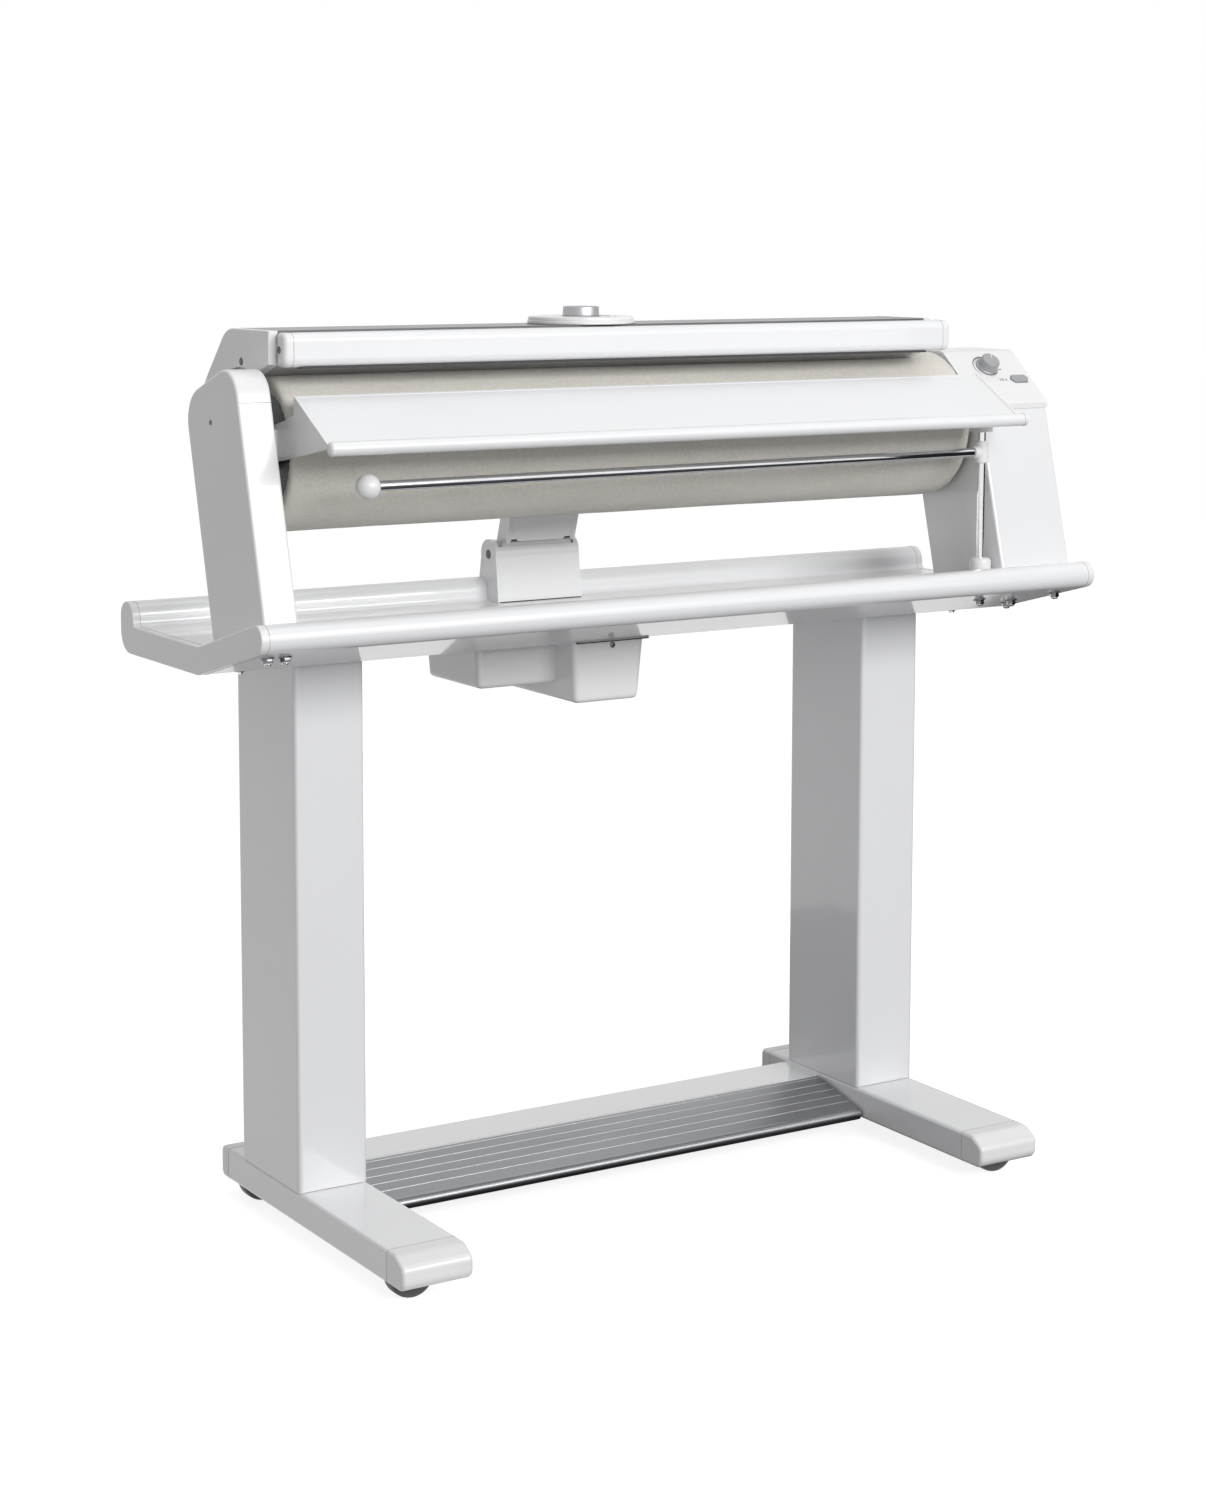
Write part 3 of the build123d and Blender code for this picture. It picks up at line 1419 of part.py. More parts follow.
def cable_gland():
    """Gland on the housing's leaning back, with a stem through the sheet."""
    x = (housing_inner_x + housing_outer_x) / 2
    y = rear_y(gland_z)
    body = rod_y(x, y - gland_stem, y + gland_length, gland_z, gland_r)
    body = fillet(body.edges().filter_by(GeomType.CIRCLE).sort_by(Axis.Y)[-1], gland_edge_r)
    body -= rod_y(x, y - 2 * gland_stem, y + gland_length + over, gland_z, gland_bore_r)
    far = 2 * gland_length
    wedge = polygon((y - far, gland_z - far), (rear_y(gland_z - far), gland_z - far),
                    (rear_y(gland_z + far), gland_z + far), (y - far, gland_z + far))
    return body - along_x(wedge, x - 2 * gland_r, x + 2 * gland_r)


right_foot = foot_tube()
right_column = column()
front_root = foot_cap_front - foot_half_y
rear_root = foot_half_y - foot_cap_rear
front_caps = foot_cap(toe_face(front_root, -foot_half_y), front_root, -1, wheel_front_y)
rear_caps = foot_cap(heel_face(rear_root, foot_half_y), rear_root, 1, wheel_rear_y)

parts["foot_tube_left"] = mirrored(right_foot)
parts["foot_tube_right"] = right_foot
parts["foot_caps_front"] = group(front_caps, mirrored(front_caps))
parts["foot_caps_rear"] = group(rear_caps, mirrored(rear_caps))
parts["wheel_front_left"] = wheel(-wheel_x, wheel_front_y)
parts["wheel_front_right"] = wheel(wheel_x, wheel_front_y)
parts["wheel_rear_left"] = wheel(-wheel_x, wheel_rear_y)
parts["wheel_rear_right"] = wheel(wheel_x, wheel_rear_y)
parts["wheel_axles"] = wheel_axles()
parts["column_left"] = mirrored(right_column)
parts["column_right"] = right_column
parts["column_plates"] = column_plates()
parts["cross_member"] = cross_member()
parts["foot_pedal"] = foot_pedal()
parts["pedal_hinge_rod"] = rod_x(-column_inner_x, column_inner_x, pedal_hinge_y,
                                 pedal_hinge_z, pedal_rod_r)
parts["tray_shell"] = tray_shell()
parts["tray_end_caps"] = tray_caps()
parts["chassis_rail"] = chassis_rail()
parts["tray_bolts"] = tray_bolts()
parts["pillar_left"] = pillar_left()
parts["housing_right"] = housing_right()
parts["control_panel"] = control_panel()
parts["panel_controls"] = panel_controls()
parts["speed_knob"] = speed_knob()
parts["power_switch"] = power_switch()
parts["bearing_plates"] = bearing_plates()
parts["roller_bearings"] = roller_bearings()
parts["roller_tube"] = roller_tube()
parts["roller_ends"] = roller_ends()
parts["roller_padding"] = roller_padding()
parts["roller_cloth"] = roller_cloth()
parts["roller_pulley"] = roller_pulley()
parts["motor_pulley"] = motor_pulley()
parts["drive_motor"] = drive_motor()
parts["drive_belt"] = drive_belt()
parts["heating_shoe"] = heating_shoe()
parts["heating_elements"] = heating_elements()
parts["heater_cover"] = heater_cover() + guard_brackets()
parts["heater_caps"] = group(heater_cap_left(), heater_cap_right())
parts["thermostat"] = thermostat()
parts["temperature_dial"] = dial_base()
parts["temperature_knob"] = temperature_knob()
parts["guard_bar"] = guard_bar()
parts["guard_caps"] = guard_caps()
parts["hinge_bracket"] = hinge_bracket()
parts["hinge_pin"] = hinge_pin()
parts["lift_arm"] = lift_arm()
parts["arm_cover"] = arm_cover()
parts["lift_crank"] = lift_crank()
parts["lift_gearmotor"] = lift_gearmotor()
parts["drive_box_cover"] = drive_box_cover()
parts["feed_board"] = feed_board()
parts["feed_arms"] = feed_arms()
parts["post"] = post()
parts["post_fittings"] = post_fittings()
parts["rod_holder"] = rod_holder()
parts["laundry_rod"] = laundry_rod()
parts["ball_end"] = ball_end()
parts["pillar_screw"] = pillar_screw()
parts["cable_gland"] = cable_gland()

os.makedirs("parts", exist_ok=True)
for name, part in parts.items():
    export_step(part, "parts/" + name + ".step")
print(len(parts), "nodes")
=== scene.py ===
import json
import math

import bmesh
import bpy
import numpy as np
from mathutils import Matrix, Vector
from mathutils.bvhtree import BVHTree

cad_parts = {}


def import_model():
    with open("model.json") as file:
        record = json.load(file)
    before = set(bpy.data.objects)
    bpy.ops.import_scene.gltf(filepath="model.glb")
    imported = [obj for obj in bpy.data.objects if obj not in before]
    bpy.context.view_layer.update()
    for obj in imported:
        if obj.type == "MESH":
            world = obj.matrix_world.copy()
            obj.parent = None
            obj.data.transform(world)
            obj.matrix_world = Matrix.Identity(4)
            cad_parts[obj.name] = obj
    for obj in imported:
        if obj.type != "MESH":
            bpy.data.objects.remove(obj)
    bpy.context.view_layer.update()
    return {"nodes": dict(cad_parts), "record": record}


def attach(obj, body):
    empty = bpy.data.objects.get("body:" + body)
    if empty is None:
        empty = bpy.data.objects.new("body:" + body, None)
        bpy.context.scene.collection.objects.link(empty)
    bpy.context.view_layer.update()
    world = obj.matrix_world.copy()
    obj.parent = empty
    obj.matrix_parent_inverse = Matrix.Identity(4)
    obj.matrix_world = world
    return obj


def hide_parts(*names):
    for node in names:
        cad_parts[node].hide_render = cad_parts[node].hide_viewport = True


# Looks of the free-standing rotary ironer, in metres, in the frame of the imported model.
# X runs along the roller, -Y is the operator's side, +Z is up.

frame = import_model()

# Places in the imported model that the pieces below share.
ROLLER_AXIS = (0.0104, 0.8047)            # y, z
CLOTH_LEFT, CLOTH_RIGHT, CLOTH_R = -0.4270, 0.3914, 0.0796
HINGE_PIN = (0.148, 0.671)                # y, z
GUARD_SEAMS, GUARD_ENDS = (-0.427, 0.346), (-0.437, 0.356)
TEMPERATURE_AXIS = (-0.072, -0.0095)      # x, y
SPEED_X, SPEED_DOWN = 0.4405, 0.028       # across the panel, and down its slope
TRAY_UNDER_Z, TRAY_FOLD_Y, TRAY_SLOPE = 0.5925, -0.005, math.radians(15)
COLUMN_OUTER_X, COLUMN_INNER_X = 0.387, 0.3103


# ---------------------------------------------------------------- shader helpers
class Shader:
    """A small builder for one procedural material."""

    def __init__(self, name):
        self.material = bpy.data.materials.new(name)
        self.material.use_nodes = True
        self.tree = self.material.node_tree
        self.tree.nodes.clear()
        self.out = self.tree.nodes.new("ShaderNodeOutputMaterial")
        self.bsdf = self.tree.nodes.new("ShaderNodeBsdfPrincipled")
        self.link(self.bsdf.outputs["BSDF"], self.out.inputs["Surface"])
        self.coordinates = self.tree.nodes.new("ShaderNodeTexCoord").outputs["Object"]

    def link(self, a, b):
        self.tree.links.new(a, b)

    def node(self, kind, **settings):
        made = self.tree.nodes.new(kind)
        for key, value in settings.items():
            setattr(made, key, value)
        return made

    def scaled(self, scale):
        """Object coordinates stretched by a per-axis scale."""
        mapping = self.node("ShaderNodeMapping")
        mapping.inputs["Scale"].default_value = scale
        self.link(self.coordinates, mapping.inputs["Vector"])
        return mapping.outputs["Vector"]

    def noise(self, scale, detail=2.0, rough=0.5, vector=None):
        made = self.node("ShaderNodeTexNoise")
        made.inputs["Scale"].default_value = scale
        made.inputs["Detail"].default_value = detail
        made.inputs["Roughness"].default_value = rough
        self.link(vector or self.coordinates, made.inputs["Vector"])
        return made.outputs["Fac"]

    def spread(self, value, low, high, start=0.3, stop=0.7):
        """Maps a 0..1 value onto low..high."""
        made = self.node("ShaderNodeMapRange")
        made.inputs["From Min"].default_value = start
        made.inputs["From Max"].default_value = stop
        made.inputs["To Min"].default_value = low
        made.inputs["To Max"].default_value = high
        self.link(value, made.inputs["Value"])
        return made.outputs["Result"]

    def blend(self, factor, first, second):
        """Colour between first and second; each is a colour or a socket."""
        made = self.node("ShaderNodeMix", data_type="RGBA")
        self.link(factor, made.inputs["Factor"])
        for socket, value in ((made.inputs[6], first), (made.inputs[7], second)):
            if hasattr(value, "node"):
                self.link(value, socket)
            else:
                socket.default_value = (*value, 1.0)
        return made.outputs[2]

    def math(self, operation, first, second=None):
        made = self.node("ShaderNodeMath", operation=operation)
        for socket, value in ((made.inputs[0], first), (made.inputs[1], second)):
            if value is None:
                continue
            if hasattr(value, "node"):
                self.link(value, socket)
            else:
                socket.default_value = value
        return made.outputs[0]

    def bump(self, height, distance, strength=1.0, normal=None):
        made = self.node("ShaderNodeBump")
        made.inputs["Strength"].default_value = strength
        made.inputs["Distance"].default_value = distance
        self.link(height, made.inputs["Height"])
        if normal is not None:
            self.link(normal, made.inputs["Normal"])
        return made.outputs["Normal"]

    def rounded(self, radius):
        """Normals as if every edge had this radius."""
        made = self.node("ShaderNodeBevel", samples=4)
        made.inputs["Radius"].default_value = radius
        return made.outputs["Normal"]

    def set(self, **values):
        for key, value in values.items():
            socket = self.bsdf.inputs[key.replace("_", " ")]
            if hasattr(value, "node"):
                self.link(value, socket)
            elif hasattr(value, "__len__"):
                socket.default_value = (*value, 1.0) if len(value) == 3 else value
            else:
                socket.default_value = value
        return self


def paint(name, colour, rough, coat, peel=0.00001):
    """Sprayed or moulded gloss: faint orange peel, uneven gloss, hardly any colour drift."""
    s = Shader(name)
    drift = s.spread(s.noise(5.0, 3.0), 0.0, 1.0)
    darker = tuple(c * 0.985 for c in colour)
    normal = s.bump(s.noise(420.0, 2.0), peel, 0.5)
    gloss = s.spread(s.noise(14.0, 4.0), rough - 0.01, rough + 0.02)
    s.set(Base_Color=s.blend(drift, colour, darker), Roughness=gloss, Normal=normal)
    s.bsdf.inputs["Coat Weight"].default_value = coat
    s.bsdf.inputs["Coat Roughness"].default_value = 0.05
    return s.material


def metal(name, colour, rough, stretch=(1, 1, 1), scale=300.0, depth=0.00001, edge=0.0005,
          spread=0.08, anisotropic=0.0):
    """Bare or plated metal with fine lines along one axis."""
    s = Shader(name)
    lines = s.noise(scale, 3.0, 0.6, s.scaled(stretch))
    normal = s.bump(lines, depth, 0.6, s.rounded(edge))
    tone = s.spread(lines, 0.0, 1.0)
    darker = tuple(c * 0.86 for c in colour)
    s.set(Base_Color=s.blend(tone, darker, colour), Metallic=1.0,
          Roughness=s.spread(lines, rough - spread / 2, rough + spread / 2), Normal=normal)
    s.bsdf.inputs["Anisotropic"].default_value = anisotropic
    return s.material


def moulded(name, colour, rough, grain=0.00004, scale=900.0):
    """Matt moulded plastic or rubber with a spark-eroded grain."""
    s = Shader(name)
    tone = s.spread(s.noise(60.0, 4.0), 0.0, 1.0)
    lighter = tuple(min(1.0, c * 1.12) for c in colour)
    normal = s.bump(s.noise(scale, 2.0), grain, 0.7, s.rounded(0.0006))
    s.set(Base_Color=s.blend(tone, colour, lighter),
          Roughness=s.spread(s.noise(120.0, 3.0), rough - 0.06, rough + 0.08), Normal=normal)
    return s.material


def woven(name, colour, dark):
    """Cloth or felt: fine weave, small flecks and broad mottling."""
    pitch = 0.0013
    s = Shader(name)
    uv = s.node("ShaderNodeTexCoord").outputs["UV"]
    broad = s.spread(s.noise(16.0, 4.0, 0.6), 0.0, 1.0)
    fleck = s.spread(s.noise(260.0, 3.0, 0.7), 0.0, 1.0, 0.35, 0.75)
    base = s.blend(broad, colour, dark)
    light = tuple(min(1.0, c * 1.10) for c in colour)
    tone = s.blend(fleck, base, light)
    parts = s.node("ShaderNodeSeparateXYZ")
    s.link(uv, parts.inputs[0])
    warp = s.math("SINE", s.math("MULTIPLY", parts.outputs[0], 2 * math.pi / pitch))
    weft = s.math("SINE", s.math("MULTIPLY", parts.outputs[1], 2 * math.pi / pitch))
    weave = s.math("MULTIPLY", warp, weft)
    height = s.math("ADD", s.math("MULTIPLY", weave, 0.5), s.noise(700.0, 3.0, 0.7))
    soft = s.bump(s.noise(38.0, 3.0, 0.5), 0.0016, 0.45)
    normal = s.bump(height, 0.00022, 0.8, soft)
    s.set(Base_Color=tone, Roughness=0.92, Normal=normal)
    s.bsdf.inputs["Sheen Weight"].default_value = 0.35
    s.bsdf.inputs["Sheen Roughness"].default_value = 0.45
    s.bsdf.inputs["Specular IOR Level"].default_value = 0.25
    return s.material


MATERIALS = {
    "white_paint": paint("white_paint", (0.80, 0.805, 0.815), rough=0.30, coat=0.6),
    "white_plastic": paint("white_plastic", (0.80, 0.80, 0.805), rough=0.34, coat=0.35,
                           peel=0.00002),
    "grey_metal": paint("grey_metal", (0.13, 0.13, 0.14), rough=0.42, coat=0.2, peel=0.00005),
    "grey_plastic": moulded("grey_plastic", (0.24, 0.245, 0.255), rough=0.38),
    "black_plastic": moulded("black_plastic", (0.018, 0.018, 0.02), rough=0.42),
    "chrome": metal("chrome", (0.86, 0.86, 0.88), rough=0.09, stretch=(0.02, 1, 1), scale=500.0,
                    depth=0.000002, spread=0.05),
    "steel": metal("steel", (0.52, 0.52, 0.54), rough=0.34, scale=260.0),
    "aluminium": metal("aluminium", (0.50, 0.505, 0.52), rough=0.36, stretch=(0.012, 1, 1),
                       scale=900.0, depth=0.00002, anisotropic=0.5),
    "iron_casting": moulded("iron_casting", (0.022, 0.022, 0.026), rough=0.34, grain=0.0003,
                            scale=260.0),
    "cloth": woven("press_cloth", (0.72, 0.695, 0.635), dark=(0.66, 0.635, 0.58)),
    "padding": woven("roller_felt", (0.62, 0.60, 0.53), dark=(0.52, 0.50, 0.44)),
    "belt_rubber": moulded("belt_rubber", (0.02, 0.02, 0.02), rough=0.6),
    "wheel_rubber": moulded("wheel_rubber", (0.085, 0.085, 0.09), rough=0.5),
}

slots = {entry["node"]: entry["material_slot"] for entry in frame["record"]["subparts"]}
for node, obj in frame["nodes"].items():
    obj.data.materials.clear()
    obj.data.materials.append(MATERIALS[slots[node]])


# ---------------------------------------------------------------- mesh helpers
def finish_mesh(name, mesh, body, slot, material=None):
    """Object of a mesh, on a body, with the material of its slot or one of its own."""
    for polygon in mesh.polygons:
        polygon.use_smooth = True
    obj = bpy.data.objects.new(name, mesh)
    bpy.context.scene.collection.objects.link(obj)
    mesh.materials.append(material or MATERIALS[slot])
    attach(obj, body)
    return obj


def grid_mesh(name, rows, close_u=False, close_v=False):
    """Quad mesh from rows of points."""
    n, m = len(rows), len(rows[0])
    verts = [p for row in rows for p in row]
    faces = []
    for i in range(n if close_u else n - 1):
        for j in range(m if close_v else m - 1):
            a, b = i * m + j, i * m + (j + 1) % m
            c, d = ((i + 1) % n) * m + (j + 1) % m, ((i + 1) % n) * m + j
            faces.append((a, b, c, d))
    mesh = bpy.data.meshes.new(name)
    mesh.from_pydata(verts, [], faces)
    return mesh


def lathe(name, profile, place, body, slot, segments=96, material=None):
    """Turned piece: (radius, height) points about the local Z of place."""
    rows = []
    for radius, height in profile:
        rows.append([place @ Vector((radius * math.cos(2 * math.pi * j / segments),
                                     radius * math.sin(2 * math.pi * j / segments), height))
                     for j in range(segments)])
    mesh = grid_mesh(name, rows, close_v=True)
    tidy(mesh, 35)
    return finish_mesh(name, mesh, body, slot, material=material)


def tidy(mesh, sharp):
    """Joins doubled points, turns the normals outwards and keeps edges over sharp degrees crisp."""
    bm = bmesh.new()
    bm.from_mesh(mesh)
    bmesh.ops.remove_doubles(bm, verts=bm.verts, dist=1e-6)
    bmesh.ops.recalc_face_normals(bm, faces=bm.faces)
    bm.to_mesh(mesh)
    bm.free()
    mesh.set_sharp_from_angle(angle=math.radians(sharp))


def frame_at(origin, normal, along=(1, 0, 0)):
    """Placement with local Z on normal and local X near along."""
    z = Vector(normal).normalized()
    x = (Vector(along) - z * Vector(along).dot(z)).normalized()
    y = z.cross(x)
    m = Matrix((x, y, z)).transposed().to_4x4()
    m.translation = Vector(origin)
    return m


def sweep(name, path, half, body, slot, material=None, closed=False, sides=12):
    """Round tube of radius half along a path."""
    rows = []
    count = len(path)
    for i, point in enumerate(path):
        before = Vector(path[(i - 1) % count] if closed or i else path[i])
        after = Vector(path[(i + 1) % count] if closed or i < count - 1 else path[i])
        m = frame_at(point, after - before, (0.2, 0.3, 1.0))
        rows.append([m @ Vector((half * math.cos(2 * math.pi * k / sides),
                                 half * math.sin(2 * math.pi * k / sides), 0))
                     for k in range(sides)])
    mesh = grid_mesh(name, rows, close_u=closed, close_v=True)
    tidy(mesh, 60)
    return finish_mesh(name, mesh, body, slot, material=material)


def plate(name, outline, place, thick, body, slot, bevel=0.0002, material=None):
    """Flat shape drawn in the local XY of place, raised by thick, with softened edges."""
    bm = bmesh.new()
    low = [bm.verts.new((x, y, 0)) for x, y in outline]
    high = [bm.verts.new((x, y, thick)) for x, y in outline]
    bm.faces.new(low)
    bm.faces.new(high)
    for k in range(len(outline)):
        bm.faces.new((low[k - 1], low[k], high[k], high[k - 1]))
    bmesh.ops.recalc_face_normals(bm, faces=bm.faces)
    if bevel:
        top = [e for e in bm.edges if all(v.co.z > thick * 0.9 for v in e.verts)]
        bmesh.ops.bevel(bm, geom=top, offset=bevel, segments=2, affect="EDGES", profile=0.6)
    bm.transform(place)
    mesh = bpy.data.meshes.new(name)
    bm.to_mesh(mesh)
    bm.free()
    mesh.set_sharp_from_angle(angle=math.radians(40))
    return finish_mesh(name, mesh, body, slot, material=material)


def polar(radius, degrees):
    turn = math.radians(degrees)
    return radius * math.cos(turn), radius * math.sin(turn)


def ngon(radius, count):
    return [polar(radius, 360 * k / count) for k in range(count)]


def rectangle(low_x, high_x, low_y, high_y):
    return [(low_x, low_y), (high_x, low_y), (high_x, high_y), (low_x, high_y)]


def block(name, low, high, body, slot, bevel, material):
    outline = rectangle(low[0], high[0], low[1], high[1])
    return plate(name, outline, Matrix.Translation((0, 0, low[2])), high[2] - low[2], body, slot,
                 bevel, material)


# ---------------------------------------------------------------- camera, light, floor
CAMERA_PLACE = (-1.6200, -2.5462, 1.0205)
CAMERA_LENS, CAMERA_SENSOR, CAMERA_SHIFT = 69.665, 36.0, -0.1267
CAMERA_YAW, CAMERA_PITCH, CAMERA_ROLL = 31.836, 6.553, 0.1      # degrees


def camera():
    data = bpy.data.cameras.new("camera")
    data.sensor_width = CAMERA_SENSOR
    data.lens = CAMERA_LENS
    data.shift_y = CAMERA_SHIFT
    data.clip_end = 60.0
    obj = bpy.data.objects.new("camera", data)
    bpy.context.scene.collection.objects.link(obj)
    yaw, pitch, roll = (math.radians(a) for a in (CAMERA_YAW, CAMERA_PITCH, CAMERA_ROLL))
    ahead = Vector((math.sin(yaw) * math.cos(pitch), math.cos(yaw) * math.cos(pitch),
                    -math.sin(pitch)))
    right = Vector((math.cos(yaw), -math.sin(yaw), 0))
    up = right.cross(ahead)
    right, up = (right * math.cos(roll) + up * math.sin(roll),
                 up * math.cos(roll) - right * math.sin(roll))
    m = Matrix((right, up, -ahead)).transposed().to_4x4()
    m.translation = CAMERA_PLACE
    obj.matrix_world = m
    bpy.context.scene.camera = obj


def lamp(name, place, target, size, power, tall=None):
    data = bpy.data.lights.new(name, "AREA")
    data.shape = "RECTANGLE"
    data.size = size
    data.size_y = tall or size
    data.energy = power
    obj = bpy.data.objects.new(name, data)
    bpy.context.scene.collection.objects.link(obj)
    ahead = (Vector(target) - Vector(place)).normalized()
    obj.matrix_world = frame_at(place, -ahead, (1, 0, 0.01))


def sees_backdrop(tree):
    """1 for camera, glossy and transmission rays, which meet a white backdrop."""
    path = tree.nodes.new("ShaderNodeLightPath")
    result = path.outputs["Is Camera Ray"]
    for kind in ("Is Glossy Ray", "Is Transmission Ray"):
        either = tree.nodes.new("ShaderNodeMath")
        either.operation = "MAXIMUM"
        tree.links.new(result, either.inputs[0])
        tree.links.new(path.outputs[kind], either.inputs[1])
        result = either.outputs[0]
    return result


def world(ambient):
    made = bpy.data.worlds.new("studio")
    bpy.context.scene.world = made
    made.use_nodes = True
    tree = made.node_tree
    tree.nodes.clear()
    out = tree.nodes.new("ShaderNodeOutputWorld")
    shown = tree.nodes.new("ShaderNodeBackground")
    lit = tree.nodes.new("ShaderNodeBackground")
    for background, strength in ((shown, 1.0), (lit, ambient)):
        background.inputs["Color"].default_value = (1.0, 1.0, 1.0, 1.0)
        background.inputs["Strength"].default_value = strength
    mix = tree.nodes.new("ShaderNodeMixShader")
    tree.links.new(sees_backdrop(tree), mix.inputs[0])
    tree.links.new(lit.outputs[0], mix.inputs[1])
    tree.links.new(shown.outputs[0], mix.inputs[2])
    tree.links.new(mix.outputs[0], out.inputs["Surface"])


def floor(grey, glow):
    """Matt floor that meets the camera as white where nothing shades it."""
    bpy.ops.mesh.primitive_plane_add(size=30, location=(0, 0, 0))
    obj = bpy.context.object
    obj.name = "floor"
    made = bpy.data.materials.new("floor")
    made.use_nodes = True
    tree = made.node_tree
    bsdf = tree.nodes["Principled BSDF"]
    bsdf.inputs["Base Color"].default_value = (*grey, 1)
    bsdf.inputs["Roughness"].default_value = 0.9
    bsdf.inputs["Specular IOR Level"].default_value = 0.0
    strength = tree.nodes.new("ShaderNodeMath")
    strength.operation = "MULTIPLY"
    strength.inputs[1].default_value = glow
    tree.links.new(sees_backdrop(tree), strength.inputs[0])
    bsdf.inputs["Emission Color"].default_value = (1, 1, 1, 1)
    tree.links.new(strength.outputs[0], bsdf.inputs["Emission Strength"])
    obj.data.materials.clear()
    obj.data.materials.append(made)


def dark_card(name, corners):
    """Dark studio card that only reflections see, for the contrast in the chrome."""
    mesh = bpy.data.meshes.new(name)
    mesh.from_pydata(corners, [], [(0, 1, 2, 3)])
    obj = bpy.data.objects.new(name, mesh)
    bpy.context.scene.collection.objects.link(obj)
    made = bpy.data.materials.new(name)
    made.use_nodes = True
    bsdf = made.node_tree.nodes["Principled BSDF"]
    bsdf.inputs["Base Color"].default_value = (0.02, 0.02, 0.025, 1)
    bsdf.inputs["Roughness"].default_value = 0.9
    mesh.materials.append(made)
    obj.visible_camera = False
    obj.visible_diffuse = False
    obj.visible_shadow = False
    obj.visible_transmission = False


bpy.context.scene.view_settings.view_transform = "Standard"
camera()
world(ambient=0.40)
lamp("front", place=(0.5, -4.1, 2.25), target=(0, 0, 0.65), size=3.4, power=146, tall=1.5)
lamp("top", place=(0.0, -0.2, 4.2), target=(0, 0, 0.6), size=3.0, power=20)
floor(grey=(0.40, 0.40, 0.405), glow=0.85)
dark_card("floor_card", [(-0.3, -3.6, 0.01), (3.0, -3.6, 0.01), (3.0, 0.9, 0.01), (-0.3, 0.9, 0.01)])
dark_card("post_card", [(0.65, -0.53, 0.25), (1.5, -0.05, 0.25), (1.5, -0.05, 1.0), (0.65, -0.53, 1.0)])
dark_card("side_card", [(1.7, -3.4, 0.05), (1.7, 2.0, 0.05), (1.7, 2.0, 0.5), (1.7, -3.4, 0.5)])


# ---------------------------------------------------------------- roller cloth and felt
def roller_skin(name, node):
    """Cloth round the roller, drawn in over both ends, with soft creases and gathers."""
    phases = np.random.default_rng(7).uniform(0, 2 * math.pi, 12)
    pleats = 46
    around = 288
    hem = [(0.0105, 0.0560), (0.0068, 0.0606), (0.0036, 0.0655), (0.0012, 0.0705),
           (0.0003, 0.0742), (0.0012, 0.0770), (0.0036, 0.0787), (0.0080, 0.0794),
           (0.0150, CLOTH_R)]
    hem = [(inward, r, 1 - i / 8) for i, (inward, r) in enumerate(hem)]
    stations = [(CLOTH_LEFT + inward, r, gather) for inward, r, gather in hem]
    stations += [(x, CLOTH_R, 0.0) for x in np.linspace(CLOTH_LEFT + 0.02, CLOTH_RIGHT - 0.02, 190)]
    stations += [(CLOTH_RIGHT - inward, r, gather) for inward, r, gather in reversed(hem)]
    waves = ((0.00022, 3, 9), (0.00018, 7, -14), (0.00012, 13, 31))
    rows = []
    for x, r, gather in stations:
        row = []
        pull = gather * gather
        for j in range(around):
            t = 2 * math.pi * j / around
            crease = sum(depth * math.sin(turns * t + lean * x + phase)
                         for (depth, turns, lean), phase in zip(waves, phases))
            crease += 0.00010 * math.sin(5 * t + 60 * x + phases[3]) * math.sin(41 * x)
            fold = math.sin(pleats * t + 1.4 * math.sin(3 * t + phases[4]) + phases[5])
            fold += 0.5 * math.sin(1.7 * pleats * t + phases[6] + 2 * math.sin(2 * t))
            radius = r + crease * (1 - gather) + 0.0008 * fold * pull - 0.0004 * gather
            inward = 0.0006 * max(fold * pull, 0.0)
            row.append((x + inward if x < 0 else x - inward,
                        ROLLER_AXIS[0] + radius * math.cos(t), ROLLER_AXIS[1] + radius * math.sin(t)))
        rows.append(row)
    mesh = grid_mesh(name, rows, close_v=True)
    layer = mesh.uv_layers.new(name="weave")
    run = [0.0]
    for a, b in zip(stations, stations[1:]):
        run.append(run[-1] + math.hypot(b[0] - a[0], b[1] - a[1]))
    girth = 0.5                           # of the cloth laid flat
    for polygon in mesh.polygons:
        wrap = [mesh.loops[k].vertex_index % around for k in polygon.loop_indices]
        for k in polygon.loop_indices:
            v = mesh.loops[k].vertex_index
            turn = v % around
            if turn == 0 and max(wrap) == around - 1:
                turn = around
            layer.data[k].uv = (run[v // around], turn / around * girth)
    obj = finish_mesh(name, mesh, "roller", "cloth")
    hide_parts(node)
    return obj


cloth = roller_skin("press_cloth", "roller_cloth")
felt_pad = lathe("roller_felt", [(0.0704, 0.0), (0.0755, 0.0002), (0.0768, 0.0016), (0.0770, 0.004),
                                 (0.0770, 0.804), (0.0768, 0.8068), (0.0755, 0.8082),
                                 (0.0704, 0.8084)],
                 frame_at((-0.422, *ROLLER_AXIS), (1, 0, 0), (0, 0, 1)), "roller", "padding")
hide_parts("roller_padding")


# ---------------------------------------------------------------- seams
def perimeter(loop):
    return sum((a - b).length for a, b in zip(loop, loop[1:]))


def place_in_line(loop):
    """Sorts outlines by the middle of their boxes: by y, z and x, and then the longer first."""
    x, y, z = [round((min(p[k] for p in loop) + max(p[k] for p in loop)) / 2, 4) for k in range(3)]
    return y, z, x, -perimeter(loop)


